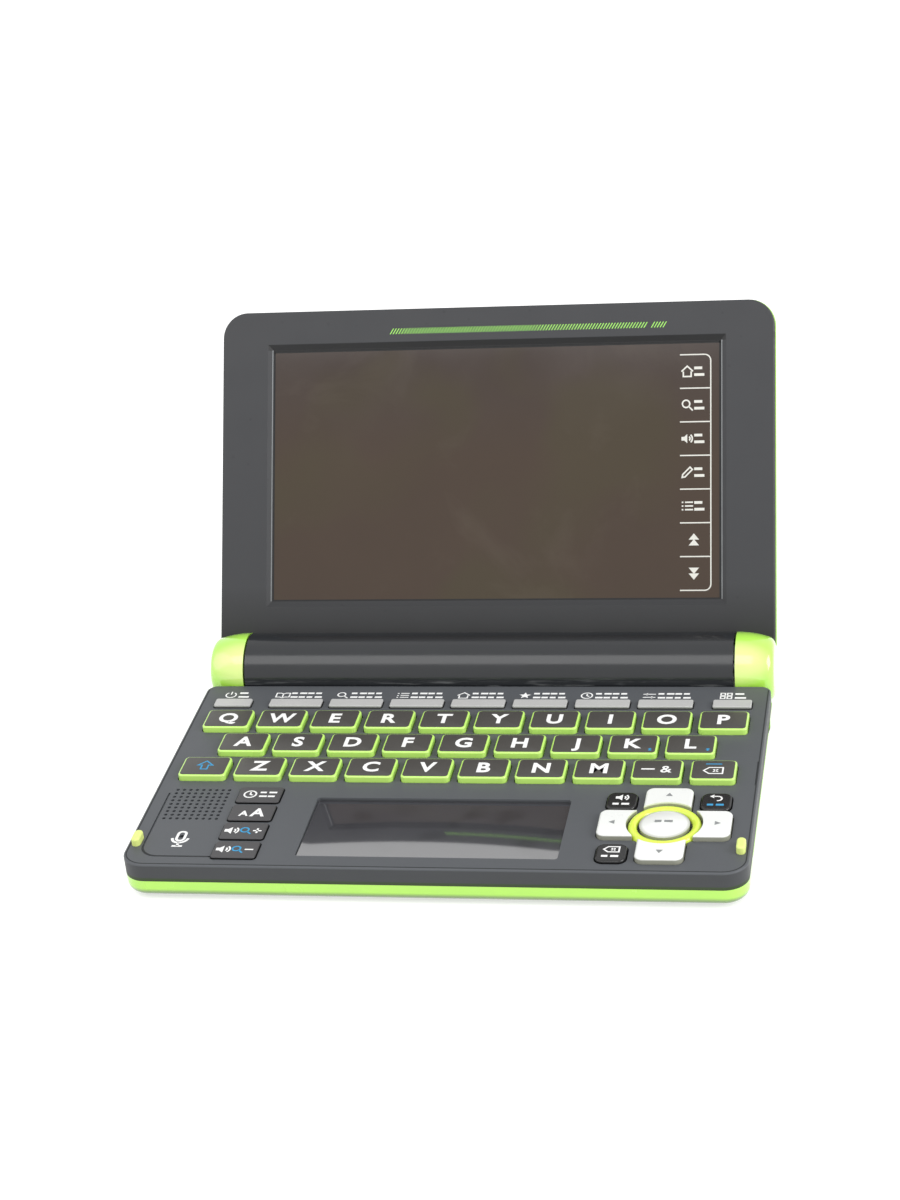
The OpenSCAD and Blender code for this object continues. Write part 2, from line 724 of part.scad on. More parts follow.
// A plate at each end of the bay, with a spring for the cells' flat end and a pad for their nub
module battery_contacts() color("gainsboro") in_base() translate([0, hinge_y, hinge_z]) {
    end = bay_len / 2 - snug;
    cell_right = cell_left + 2 * cell_len + cell_gap;
    rod_x(-end, -end + contact_t, bore_r - 0.6);
    rod_x(-end + contact_t, cell_left - snug, cell_nub_r + 0.75);
    rod_x(end - contact_t, end, bore_r - 0.6);
    rod_x(cell_right + snug, end - contact_t, cell_nub_r + 0.25);
}

module hinge_shafts() color("silver") in_base() translate([0, hinge_y, hinge_z])
    both_sides() rod_x(barrel_half - shaft_seat + snug, knuckle_x + knuckle_len, shaft_d / 2);

// ---- base, inside ----

module main_board() color("seagreen") in_base() {
    difference() {
        board_sheet(board_z, board_t);
        jack_room(fit);
    }
    for (chip = chips) translate([chip[0] * half_w, chip[1] * deck_d, board_z - chip_h / 2])
        cube([chip[2], chip[2], chip_h], center = true);
    difference() {
        post([speaker_x, mic_y], 2 * mic_r, seam_z, seam_z + mic_h);
        post([speaker_x, mic_y], mic_hole_d - cut, seam_z + mic_h / 2, deck_z);
    }
    jack_socket();
    socket(port_y, port_w, port_len, seam_z, port_h, port_wall);
    socket(card_y, card_w, card_len, board_z - card_h, card_h, card_wall);
}

// The room that the board and the mat leave for the jack
module jack_room(gap) block(-half_w, socket_x + jack_len + gap, jack_y - jack_w / 2 - gap, deck_d, 0, deck_z);

module jack_socket() difference() {
    block(socket_x, socket_x + jack_len, jack_y - jack_w / 2, jack_y + jack_w / 2,
        jack_z - jack_h / 2, jack_z + jack_h / 2);
    translate([0, jack_y, jack_z]) rod_x(-half_w, socket_x + jack_len + 1, jack_bore_d / 2);
}

// Flat socket that opens to the left
module socket(y, w, len, z, h, wall) difference() {
    block(socket_x, socket_x + len, y - w / 2, y + w / 2, z, z + h);
    block(socket_x - 1, socket_x + len - 1, y - w / 2 + wall, y + w / 2 - wall, z + wall, z + h - wall);
}

// Flat sheet that fills the case inside its tongue, round its bosses
module board_sheet(z, t) difference() {
    intersection() {
        translate([0, deck_d / 2, z]) linear_extrude(t) round_rect(2 * (half_w - lip_in - sheet_gap),
            deck_d - 2 * (lip_in + sheet_gap), base_corner_r - lip_in - sheet_gap);
        block(-half_w, stylus_wall_x - sheet_gap, 0, sheet_rear, 0, deck_z);
    }
    for (at = screws) post(at, boss_d + 2 * sheet_gap, z - 1, z + t + 1);
}

module key_mat() color("dimgray") in_base() {
    difference() {
        board_sheet(mat_z, mat_t);
        post([speaker_x, speaker_y], 2 * (speaker_r + sheet_gap), 0, deck_z);
        post([speaker_x, mic_y], 2 * (mic_r + sheet_gap), 0, deck_z);
        jack_room(sheet_gap);
        block(-half_w, socket_x + port_len + sheet_gap, port_y - port_w / 2 - sheet_gap,
            port_y + port_w / 2 + sheet_gap, 0, deck_z);
    }
    for (at = letter_places()) dome(at, key_travel);
    for (i = [0:3]) dome(arrow_middle(i), key_travel);
    dome([nav_x, nav_y], key_travel);
    for (i = [1:8]) dome(strip_at(i) - [0, 1], strip_travel);
    for (y = side_key_places()) dome([side_key_x, y], small_travel);
    for (at = corner_key_places()) dome(at, small_travel);
}

// Rubber dome that ends just under a key pressed by its travel
module dome(at, travel) translate([at[0], at[1], dome_z])
    cylinder(h = flange_z - dome_z - travel - dome_gap, r1 = dome_foot_r, r2 = dome_top_r);

module sub_window() color("#3a3d42", 0.6) in_base()
    translate([panel_x, panel_y, panel_glass_z + panel_glass_t / 2])
        cube([panel_w + 2 * panel_rebate, panel_d + 2 * panel_rebate, panel_glass_t], center = true);

module sub_display() color("#4a4f4a") in_base() {
    low = dome_z + snug;
    high = panel_glass_z - snug;
    translate([panel_x, panel_y, (low + high) / 2])
        cube([panel_w - 2 * lcd_margin, panel_d - 2 * lcd_margin, high - low], center = true);
}

module speaker() color("#202020") in_base() {
    magnet_top = seam_z + 1.6;
    post([speaker_x, speaker_y], 2 * (speaker_r - 2.5), seam_z, magnet_top);
    post([speaker_x, speaker_y], 2 * speaker_r, magnet_top, deck_under_z - fit);
}

module nav_ring() color("#a8f53c") in_base() translate([nav_x, nav_y, deck_z - ring_seat])
    rotate_extrude() translate([ring_in_r, 0]) {
        ring_w = ring_out_r - ring_in_r;
        crown = ring_w / 2;
        square([ring_w, ring_seat + ring_rise - crown]);
        intersection() {
            translate([crown, ring_seat + ring_rise - crown]) circle(crown);
            square([ring_w, ring_seat + ring_rise]);
        }
    }

module lid_bumpers() color("#a8f53c") in_base() both_sides()
    translate([half_w - bumper_inset, bumper_y, deck_z - bumper_seat])
        pillow(bumper_w, bumper_len, bumper_seat + bumper_rise, bumper_w / 2 - snug, soft_edge_r);

module rubber_feet() color("#2b2b2b") in_base() {
    for (at = front_feet) post(at, foot_d, 0, foot_h + foot_sink);
    for (x = [-1, 1]) post([x * rear_foot_x, hinge_y], rear_foot_d, 0, rear_foot_top);
}

module base_screws() color("silver") in_base() for (at = screws)
    translate([at[0], at[1], foot_h + foot_sink])
        screw(screw_head_h, deck_under_z - foot_h - foot_sink - screw_head_h);

// Screw that points up, with a cross in the underside of its head
module screw(head_h, length) {
    difference() {
        cylinder(h = head_h, d = screw_head_d);
        for (turn = [0, 90]) rotate(turn) cube([0.58, 0.13, 0.3] * screw_head_d, center = true);
    }
    translate([0, 0, head_h]) cylinder(h = length, d = screw_d);
}

// ---- keys ----

function letter_x(row, i) = (i - (len(LETTER_ROWS[row]) - 1) / 2) * key_pitch;
function is_delete(row, i) = LETTER_ROWS[row][i] == "delete";
function letter_w(row, i) = is_delete(row, i) ? delete_key_w : key_w;
function letter_at(row, i) = [letter_x(row, i) - (is_delete(row, i) ? (key_w - delete_key_w) / 2 : 0),
    front_zone_d + key_d / 2 + row * row_pitch];
function letter_places() = [for (row = [0:2], i = [0:len(LETTER_ROWS[row]) - 1]) letter_at(row, i)];
function is_end_strip(i) = i == 0 || i == 8;
function strip_at(i) = [is_end_strip(i) ? (i / 4 - 1) * end_strip_x : (i - 4) * strip_pitch, strip_y];
function strip_width(i) = is_end_strip(i) ? end_strip_w : strip_w;
function side_key_places() = [for (i = [0:3])
    side_key_front + side_key_d / 2 + i * (side_key_d + side_key_gap)];
function corner_key_places() = [for (at = [[-1, 1, 0], [1, 1, 0], [-1, -1, front_key_drop]])
    [nav_x + at[0] * corner_key_x, nav_y + at[1] * (corner_key_y + at[2])]];
function arrow_middle(i) = [nav_x, nav_y] + arrow_mid_r * [cos(90 * i), sin(90 * i)];

// Key cap on a flange that reaches out by the overhang
module key_body(w, d, rise, corner_r, edge_r, overhang) {
    translate([0, 0, flange_z]) pillow(w, d, deck_z + rise - flange_z, corner_r, edge_r);
    translate([0, 0, flange_z]) linear_extrude(flange_t)
        round_rect(w + 2 * overhang, d + 2 * overhang, corner_r);
}

module letter_key(row, i) color("#a8f53c") in_base() translate(letter_at(row, i))
    key_body(letter_w(row, i), key_d, key_rise, key_corner_r, key_edge_r, key_clear + key_flange);

module arrow_key(i) color("#e6e8e4") in_base() translate([nav_x, nav_y, flange_z]) rotate(90 * i) {
    linear_extrude(flange_t) arrow_plan(small_overhang, small_overhang);
    intersection() {
        linear_extrude(through) arrow_plan(0, 0);
        translate([arrow_reach / 2, 0, 0])
            pillow(arrow_reach, arrow_w, deck_z + arrow_rise - flange_z, soft_corner_r, soft_edge_r);
    }
}

module enter_key() color("#e6e8e4") in_base() translate([nav_x, nav_y, flange_z]) {
    rim = deck_z + enter_rise - enter_dome - flange_z;
    dome_r = (enter_r * enter_r + enter_dome * enter_dome) / (2 * enter_dome);
    cylinder(h = flange_t, r = enter_r + small_overhang);
    intersection() {
        cylinder(h = rim + enter_dome, r = enter_r);
        translate([0, 0, rim + enter_dome - dome_r]) sphere(dome_r, $fn = 128);
    }
}

// The nine strips on one web
module function_keys() color("#c4c4c2") in_base() {
    for (i = [0:8]) translate(strip_at(i))
        key_body(strip_width(i), strip_d, strip_rise, strip_corner_r, fine_edge_r, key_clear + key_flange);
    block(-end_strip_x, end_strip_x, strip_y - strip_d / 2, strip_y + strip_d / 2,
        flange_z, flange_z + flange_t);
}

// The four keys left of the panel, on one web, and the three round the arrows
module small_keys() color("#3f3b3d") in_base() {
    for (y = side_key_places()) translate([side_key_x, y])
        key_body(side_key_w, side_key_d, side_key_rise, side_key_corner_r, fine_edge_r, small_overhang);
    block(side_key_x - side_key_w / 2, side_key_x + side_key_w / 2, side_key_front, side_key_places()[3],
        flange_z, flange_z + flange_t);
    for (at = corner_key_places()) translate(at)
        key_body(corner_key_w, corner_key_d, corner_key_rise, soft_corner_r, soft_edge_r, small_overhang);
}

// ---- stylus ----

module stylus() color("#a8f53c") in_base() translate([stylus_x, 0, stylus_z]) rotate([-90, 0, 0]) {
    tip = stylus_y1 - stylus_tip_len;
    tip_r = 0.45 * stylus_d;
    translate([0, 0, stylus_y0]) cylinder(h = tip - stylus_y0, d = stylus_d);
    translate([0, 0, tip]) cylinder(h = stylus_tip_len - stylus_point, r = tip_r);
    translate([0, 0, stylus_y1 - stylus_point]) cylinder(h = stylus_point, r1 = tip_r, r2 = tip_r / 3);
}

// ---- lid ----

// Section of a cap: crowned, with a rounded outer end
module cap_section(grow) {
    crown_r = (cap_len * cap_len + cap_crown * cap_crown) / (2 * cap_crown);
    end_x = cap_in + cap_len - cap_end_r;
    end_y = barrel_r - crown_r + sqrt(pow(crown_r - cap_end_r, 2) - pow(cap_len - cap_end_r, 2));
    touch_x = cap_in + (cap_len - cap_end_r) * crown_r / (crown_r - cap_end_r);
    intersection() {
        translate([cap_in, barrel_r - crown_r]) circle(crown_r + grow, $fn = 128);
        translate([cap_in - cap_gap - grow, 0]) square([touch_x - cap_in + cap_gap + grow, barrel_r + grow]);
    }
    translate([cap_in - cap_gap - grow, 0]) square([cap_len + cap_gap + 2 * grow, end_y]);
    intersection() {
        translate([end_x, end_y]) circle(cap_end_r + grow);
        translate([end_x, 0]) square([cap_end_r + grow, barrel_r + grow]);
    }
}

module cap_solid() intersection() {
    about_x() cap_section(0);
    block(cap_in, lid_half_w + 1, -through, through, -through, through);
}

module hinge_caps() color("#a8f53c") in_lid() both_sides() difference() {
    cap_solid();
    rod_x(cap_in - 1, lid_half_w - wall_t, barrel_r - cap_wall);
    leaf_slot(0, barrel_r + 2);
}

// Room for a hinge leaf between two heights up the lid
module leaf_slot(v0, v1) block(knuckle_x - 2 * fit, knuckle_x + knuckle_len + 2 * fit, bezel_back - fit,
    bezel_back + leaf_t + fit, v0, v1);

module hinge_knuckles() color("silver") in_lid() both_sides() translate([knuckle_x, 0, 0])
    difference() {
        union() {
            rod_x(0, knuckle_len, knuckle_d / 2);
            block(0, knuckle_len, 0, bezel_back + leaf_t, 0, knuckle_d / 2);
            block(0, knuckle_len, bezel_back, bezel_back + leaf_t, 0, leaf_top);
        }
        rod_x(-1, knuckle_len + 1, shaft_d / 2 + shaft_clear);
        for (v = leaf_screws) translate([knuckle_len / 2, 0, v]) rotate([-90, 0, 0])
            cylinder(h = through, d = screw_d + fit);
    }

module lid_screws() color("silver") in_lid() both_sides()
    for (v = leaf_screws)
        translate([knuckle_x + knuckle_len / 2, bezel_back + leaf_t + lid_screw_head_h, v])
            rotate([90, 0, 0]) screw(lid_screw_head_h, leaf_t + lid_screw_bite);

// The space of the barrel and the caps, which the lid leaves out, and all that is under its foot
module lid_clearance() {
    block(-through * 2, through * 2, -through, through, -through, lid_foot);
    rod_x(-cap_in, cap_in, barrel_r + seam_gap - snug);
    both_sides() about_x() cap_section(fit);
}

// The lid's outline seen from the front, as a slab
module lid_slab(inset, h, edge_r) {
    low = lid_foot - lid_corner_r;
    high = lid_reach - inset;
    translate([0, (low + high) / 2, 0])
        soft_slab(2 * (lid_half_w - inset), high - low, h, lid_corner_r - inset, edge_r);
}

module lid_back_cover() color("#a8f53c") in_lid() difference() {
    on_lid_back(lid_back) lid_slab(0, lid_t - bezel_t, lid_back_r);
    intersection() {
        on_lid_back(lid_back - cover_t) lid_slab(cover_t, lid_t, lid_back_r - cover_t);
        block(-lid_half_w, lid_half_w, -through, through, barrel_r + 2.2, lid_reach);
    }
    lid_clearance();
    both_sides() leaf_slot(0, 1.5 * barrel_r);
}

module lid_bezel() color("#4d4e52") in_lid() difference() {
    on_lid_front(lid_face) lid_slab(bezel_step, bezel_t, lid_edge_r);
    window_cut();
    on_lid_front(glass_front) translate([0, window_v, 0]) linear_extrude(bezel_t) square(
        [window_w + 2 * window_rebate + 2 * fit, window_h + 2 * window_rebate + 2 * fit], center = true);
    lid_clearance();
    both_sides() for (v = leaf_screws) translate([knuckle_x + knuckle_len / 2, bezel_back + 1, v])
        rotate([90, 0, 0]) cylinder(h = 1 + lid_screw_bite + fit, d = screw_d + screw_bite);
}

// The window's opening with its bevel
module window_cut() {
    slope = window_bevel / window_recess;
    ahead = 1;
    wide = window_bevel + slope * ahead;
    intersection() {
        translate([0, lid_face, window_v]) linear_extrude(2 * window_h, center = true)
            polygon([[-window_w / 2 - wide, -ahead], [window_w / 2 + wide, -ahead],
                [window_w / 2, window_recess], [-window_w / 2, window_recess]]);
        translate([0, lid_face, window_v]) rotate([90, 0, 90]) linear_extrude(2 * window_w, center = true)
            polygon([[-ahead, -window_h / 2 - wide], [-ahead, window_h / 2 + wide],
                [window_recess, window_h / 2], [window_recess, -window_h / 2]]);
    }
    translate([0, glass_front, window_v]) cube([window_w, 2 * bezel_t, window_h], center = true);
}

module display_window() color("#4f463c", 0.6) in_lid()
    translate([0, glass_front + window_glass_t / 2, window_v])
        cube([window_w + 2 * window_rebate, window_glass_t, window_h + 2 * window_rebate], center = true);

// The display with a shallow pocket in its back, and the flex tail that runs to the hinge
module display_panel() color("#8a8a80") in_lid() {
    difference() {
        translate([0, (lcd_front + lcd_back) / 2, window_v])
            cube([window_w - 2 * lcd_margin, lcd_back - lcd_front, window_h - 2 * lcd_margin], center = true);
        translate([0, lcd_back, window_v])
            cube([window_w * 0.66, 2 * lcd_pocket, window_h * 0.6], center = true);
    }
    block(tail_x, tail_x + tail_w, lcd_front + 0.6, lcd_front + 0.8, barrel_r + 3,
        window_v - window_h / 2 + 2);
}

lower_case();
upper_case();
battery_barrel();
battery_cells();
battery_contacts();
main_board();
key_mat();
sub_window();
sub_display();
speaker();
nav_ring();
lid_bumpers();
rubber_feet();
base_screws();
hinge_shafts();
battery_door();
stylus();
enter_key();
function_keys();
small_keys();
lid_back_cover();
lid_bezel();
display_window();
display_panel();
hinge_caps();
hinge_knuckles();
lid_screws();
for (row = [0:2], i = [0:len(LETTER_ROWS[row]) - 1])
    letter_key(row, i);
for (i = [0:3]) arrow_key(i);
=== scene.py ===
"""Finishes, key tops, printed marks and studio of a pocket electronic dictionary.

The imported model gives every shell, key and hinge its place. This file gives them their looks.
Lengths are in metres. X runs along the hinge, Y to the back and Z up.
"""

from functools import cache
from math import cos, pi, radians, sin

import bmesh
import bpy
from bpy.props import FloatProperty, FloatVectorProperty, IntProperty, PointerProperty
from mathutils import Matrix, Vector


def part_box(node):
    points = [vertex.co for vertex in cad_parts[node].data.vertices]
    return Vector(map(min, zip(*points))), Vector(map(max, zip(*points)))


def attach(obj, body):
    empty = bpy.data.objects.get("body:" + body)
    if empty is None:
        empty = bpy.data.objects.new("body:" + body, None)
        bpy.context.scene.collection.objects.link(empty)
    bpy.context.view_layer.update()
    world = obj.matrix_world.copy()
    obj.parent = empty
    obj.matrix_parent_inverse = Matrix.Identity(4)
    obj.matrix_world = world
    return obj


bl_info = {
    "name": "Pocket dictionary looks",
    "version": (1, 0, 0),
    "blender": (4, 5, 0),
    "location": "View3D > Sidebar > Dictionary",
    "description": "Finishes, key tops, printed marks and studio of a pocket dictionary",
    "category": "Object",
}

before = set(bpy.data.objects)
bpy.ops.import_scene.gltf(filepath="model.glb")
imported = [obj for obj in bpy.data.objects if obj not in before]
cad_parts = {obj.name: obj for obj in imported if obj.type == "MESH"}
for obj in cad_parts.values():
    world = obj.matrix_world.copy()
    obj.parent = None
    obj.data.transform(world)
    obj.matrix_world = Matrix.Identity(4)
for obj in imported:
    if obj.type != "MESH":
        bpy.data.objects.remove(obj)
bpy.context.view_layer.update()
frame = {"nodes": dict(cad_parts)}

MM = 0.001
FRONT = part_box("upper_case")[0].y
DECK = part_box("upper_case")[1].z
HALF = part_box("upper_case")[1].x
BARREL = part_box("battery_barrel")
HINGE = Vector((0, (BARREL[0].y + BARREL[1].y) / 2 + 2.9 * MM, 9.95 * MM))
LEAN = radians(30)
UP_LID, INTO_LID = (0, sin(LEAN), cos(LEAN)), (0, cos(LEAN), -sin(LEAN))
FRAME_FACE = 2.25 * MM  # depth of the lid frame's front face behind the hinge axis
GLASS_FACE = 3.1 * MM  # depth of the display glass
NAV_X, NAV_Y = HALF - 20.4 * MM, 18.95 * MM  # middle of the arrow keys


# ---- places ----


def on_deck(x, y, height):
    """Place of a flat mark on the base: x from its middle, y from its front edge, height above the deck."""
    return Matrix.Translation((x, FRONT + y, DECK + height))


def on_lid(x, up, depth):
    """Place of a flat mark that faces forward on the open lid: up from the hinge axis, depth behind it."""
    lid = Matrix.Translation(HINGE) @ Matrix.Rotation(-LEAN, 4, "X")
    return lid @ Matrix.Translation((x, depth, up)) @ Matrix.Rotation(pi / 2, 4, "X")


# ---- shapes ----


def mesh_of(shape, name):
    """Turns a bmesh into a mesh and frees it."""
    made = bpy.data.meshes.new(name)
    shape.to_mesh(made)
    shape.free()
    return made


def arc(x, y, r, start, end, steps=14):
    """Points along an arc whose angles are in degrees."""
    turns = (radians(start + (end - start) * i / steps) for i in range(steps + 1))
    return [(x + r * cos(a), y + r * sin(a)) for a in turns]


def rounded(w, d, r, steps=6):
    """Counterclockwise points of a rectangle with round corners about the origin."""
    corners = ((1, 1, 0), (-1, 1, 90), (-1, -1, 180), (1, -1, 270))
    return [p for sx, sy, turn in corners
            for p in arc(sx * (w / 2 - r), sy * (d / 2 - r), r, turn, turn + 90, steps)]


def ribbon(shape, points, width, closed=False):
    """Adds a flat line of one width through the points, with mitred bends."""
    points = [Vector(p) for p in points]
    count = len(points)
    pairs = []
    for i, point in enumerate(points):
        before = points[i - 1] if closed or i else None
        after = points[(i + 1) % count] if closed or i < count - 1 else None
        run_in = (point - before if before is not None else after - point).normalized()
        run_out = (after - point if after is not None else point - before).normalized()
        across = Vector((-run_in.y - run_out.y, run_in.x + run_out.x)).normalized()
        half = across * width / 2 / max(0.4, across.dot(Vector((-run_in.y, run_in.x))))
        pairs.append([shape.verts.new((*(point + side * half), 0)) for side in (1, -1)])
    for i in range(count if closed else count - 1):
        (left, right), (next_left, next_right) = pairs[i], pairs[(i + 1) % count]
        shape.faces.new((right, next_right, next_left, left))


def plate(w, d, r, thick, edge):
    """Mesh of a plate with round corners and a rounded top edge, standing on z 0."""
    shape = bmesh.new()
    turns = (0, pi / 6, pi / 3, pi / 2)
    steps = [(0, 0)] + [(edge * (1 - cos(a)), thick - edge * (1 - sin(a))) for a in turns]
    rings = [[shape.verts.new((x, y, z)) for x, y in rounded(w - 2 * inset, d - 2 * inset, r - inset)]
             for inset, z in steps]
    for low, high in zip(rings, rings[1:]):
        for i in range(len(low)):
            shape.faces.new((low[i - 1], low[i], high[i], high[i - 1]))
    shape.faces.new(rings[-1])
    shape.faces.new(reversed(rings[0]))
    made = mesh_of(shape, "plate")
    made.shade_smooth()
    made.set_sharp_from_angle(angle=radians(50))
    return made


PICTOGRAMS = {
    "power": [("line", arc(0, 0, 0.42, 125, 415)), ("line", [(0, 0.52), (0, 0.06)])],
    "house": [("line", [(-0.5, 0), (0, 0.46), (0.5, 0)]),
              ("line", [(-0.34, 0), (-0.34, -0.44), (0.34, -0.44), (0.34, 0)])],
    "book": [("loop", [(-0.55, 0.32), (-0.2, 0.32), (0, 0.2), (0.2, 0.32), (0.55, 0.32), (0.55, -0.32),
                       (0.2, -0.32), (0, -0.44), (-0.2, -0.32), (-0.55, -0.32)]),
             ("line", [(0, 0.2), (0, -0.4)])],
    "lens": [("loop", arc(-0.1, 0.1, 0.32, 0, 337.5, 15)), ("line", [(0.14, -0.14), (0.48, -0.48)])],
    "clock": [("loop", arc(0, 0, 0.44, 0, 337.5, 15)), ("line", [(0, 0.28), (0, -0.02), (0.2, -0.12)])],
    "list": [("line", [(-0.2, y), (0.5, y)]) for y in (0.32, 0, -0.32)]
            + [("line", [(-0.48, y), (-0.34, y)]) for y in (0.32, 0, -0.32)],
    "star": [("fill", [(r * cos(radians(a)), r * sin(radians(a)))
                       for i in range(10) for r, a in [((0.5, 0.21)[i % 2], 90 + 36 * i)]])],
    "sliders": [("line", [(-0.5, y), (0.5, y)]) for y in (0.25, -0.25)]
               + [("line", [(x, y + 0.16), (x, y - 0.16)]) for x, y in ((-0.2, 0.25), (0.2, -0.25))],
    "grid": [("loop", [(x - 0.17, y - 0.17), (x + 0.17, y - 0.17), (x + 0.17, y + 0.17), (x - 0.17, y + 0.17)])
             for x in (-0.26, 0.26) for y in (-0.26, 0.26)],
    "speaker": [("fill", [(-0.5, -0.16), (-0.26, -0.16), (0, -0.4), (0, 0.4), (-0.26, 0.16), (-0.5, 0.16)]),
                ("line", arc(0.02, 0, 0.22, -50, 50, 8)), ("line", arc(0.02, 0, 0.42, -50, 50, 8))],
    "back": [("line", arc(0.08, -0.02, 0.3, -100, 90, 10) + [(-0.25, 0.28)]),
             ("fill", [(-0.52, 0.28), (-0.2, 0.04), (-0.2, 0.52)])],
    "shift": [("loop", [(-0.46, 0.02), (-0.2, 0.02), (-0.2, -0.44), (0.2, -0.44), (0.2, 0.02), (0.46, 0.02),
                        (0, 0.5)])],
    "erase": [("loop", [(-0.56, 0), (-0.24, -0.34), (0.56, -0.34), (0.56, 0.34), (-0.24, 0.34)]),
              ("line", [(0, 0.14), (0.28, -0.14)]), ("line", [(0, -0.14), (0.28, 0.14)])],
    "pen": [("loop", [(-0.44, -0.44), (-0.2, -0.4), (0.44, 0.24), (0.24, 0.44), (-0.4, -0.2)])],
    "up_up": [("fill", [(-0.4, y - 0.22), (0.4, y - 0.22), (0, y + 0.26)]) for y in (-0.22, 0.22)],
    "down_down": [("fill", [(-0.4, y + 0.22), (0, y - 0.26), (0.4, y + 0.22)]) for y in (0.22, -0.22)],
    "plus": [("line", [(-0.4, 0), (0.4, 0)]), ("line", [(0, -0.4), (0, 0.4)])],
    "minus": [("line", [(-0.4, 0), (0.4, 0)])],
    "bar": [("line", [(-0.5, 0), (0.5, 0)])],
    "triangle": [("fill", [(-0.4, -0.5), (0.45, 0), (-0.4, 0.5)])],
    "microphone": [("loop", rounded(0.264, 0.542, 0.13, 5)), ("line", arc(0, -0.125, 0.27, 180, 360, 12)),
                   ("line", [(0, -0.395), (0, -0.6)]), ("line", [(-0.18, -0.6), (0.18, -0.6)])],
}


def pictogram(name, size, line):
    """Mesh of a flat mark in a square of the given size, drawn with lines of one width."""
    shape = bmesh.new()
    for kind, points in PICTOGRAMS[name]:
        points = [Vector(p) * size for p in points]
        if kind == "fill":
            shape.faces.new([shape.verts.new((p.x, p.y, 0)) for p in points])
        else:
            ribbon(shape, points, line, kind == "loop")
    return mesh_of(shape, name)


def lettering(text, height, weight):
    """Flat mesh of a letter or sign at the given capital height, in the middle of its place."""
    curve = bpy.data.curves.new("lettering", "FONT")
    curve.body = text
    curve.offset = weight
    curve.resolution_u = 4
    carrier = bpy.data.objects.new("lettering", curve)
    bpy.context.scene.collection.objects.link(carrier)
    made = bpy.data.meshes.new_from_object(carrier.evaluated_get(bpy.context.evaluated_depsgraph_get()))
    bpy.data.objects.remove(carrier)
    capital = 0.7  # height of a capital of the font at size 1
    wide = [v.co.x for v in made.vertices]
    made.transform(Matrix.Translation((-(min(wide) + max(wide)) / 2, -capital / 2, 0)))
    made.transform(Matrix.Scale(height / capital, 4))
    return made


def dashes(wide, rows, line):
    """Rows of short dashes about the origin, in place of printed words, two and a half lines apart."""
    shape = bmesh.new()
    count = max(1, round(wide / (3 * line)))
    step = wide / count
    filled = (0.7, 0.88, 0.78)
    for row in range(rows):
        y = ((rows - 1) / 2 - row) * 2.5 * line
        for i in range(count):
            left = i * step - wide / 2
            ribbon(shape, [(left, y), (left + step * filled[(i + row) % 3], y)], line)
    return mesh_of(shape, "dashes")


def join(name, parts):
    """One mesh from (mesh, place, finish) parts, with a material slot for each finish."""
    shape, finishes = bmesh.new(), []
    for mesh, place, finish in parts:
        if finish not in finishes:
            finishes.append(finish)
        known = len(shape.faces)
        mesh.transform(place)
        shape.from_mesh(mesh)
        shape.faces.ensure_lookup_table()
        for face in shape.faces[known:]:
            face.material_index = finishes.index(finish)
        bpy.data.meshes.remove(mesh)
    made = mesh_of(shape, name)
    for finish in finishes:
        made.materials.append(finish)
    return made


def fit(name, mesh, body):
    """Adds a finished mesh as a piece that rides on a body."""
    made = bpy.data.objects.new(name, mesh)
    bpy.context.scene.collection.objects.link(made)
    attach(made, body)


# ---- node trees ----


def add(tree, kind, inputs=(), **settings):
    """Adds a node with its settings. Each input is given a value, or a link from another node's output."""
    made = tree.nodes.new(kind)
    for name, value in settings.items():
        setattr(made, name, value)
    for name, value in dict(inputs).items():
        if isinstance(value, bpy.types.NodeSocket):
            tree.links.new(value, made.inputs[name])
        else:
            made.inputs[name].default_value = value
    return made


@cache
def row_tree():
    """Geometry Nodes tree that repeats a mark along a straight row."""
    tree = bpy.data.node_groups.new("row_of_marks", "GeometryNodeTree")
    sockets = (("Geometry", "Geometry"), ("Count", "Int"), ("Step", "Vector"), ("Finish", "Material"))
    for name, kind in sockets:
        tree.interface.new_socket(name, in_out="INPUT", socket_type="NodeSocket" + kind)
    tree.interface.new_socket("Geometry", in_out="OUTPUT", socket_type="NodeSocketGeometry")
    given = add(tree, "NodeGroupInput")
    line = add(tree, "GeometryNodeMeshLine",
               {"Count": given.outputs["Count"], "Offset": given.outputs["Step"]})
    copies = add(tree, "GeometryNodeInstanceOnPoints",
                 {"Points": line.outputs["Mesh"], "Instance": given.outputs["Geometry"]})
    real = add(tree, "GeometryNodeRealizeInstances", {"Geometry": copies.outputs["Instances"]})
    done = add(tree, "GeometryNodeSetMaterial",
               {"Geometry": real.outputs["Geometry"], "Material": given.outputs["Finish"]})
    add(tree, "NodeGroupOutput", {"Geometry": done.outputs["Geometry"]})
    return tree


def grown(mesh, tree, **values):
    """The plain mesh that a Geometry Nodes tree makes from the given one."""
    carrier = bpy.data.objects.new("carrier", mesh)
    bpy.context.scene.collection.objects.link(carrier)
    modifier = carrier.modifiers.new("nodes", "NODES")
    modifier.node_group = tree
    for item in tree.interface.items_tree:
        if item.in_out == "INPUT" and item.name in values:
            modifier[item.identifier] = values[item.name]
    made = bpy.data.meshes.new_from_object(carrier.evaluated_get(bpy.context.evaluated_depsgraph_get()))
    carrier.modifiers.remove(modifier)
    bpy.data.objects.remove(carrier)
    return made


# ---- finishes ----


def linear(code):
    """An sRGB hex colour as linear red, green and blue."""
    parts = [int(code[i:i + 2], 16) / 255 for i in (1, 3, 5)]
    return tuple(p / 12.92 if p <= 0.04045 else ((p + 0.055) / 1.055) ** 2.4 for p in parts)


def toned(colour, factor):
    """The colour made lighter or darker, with full alpha."""
    return (*(min(1.0, c * factor) for c in colour), 1.0)


def chosen(name):
    """One of the colours that the user can set."""
    return getattr(bpy.context.scene.dictionary_colours, name)


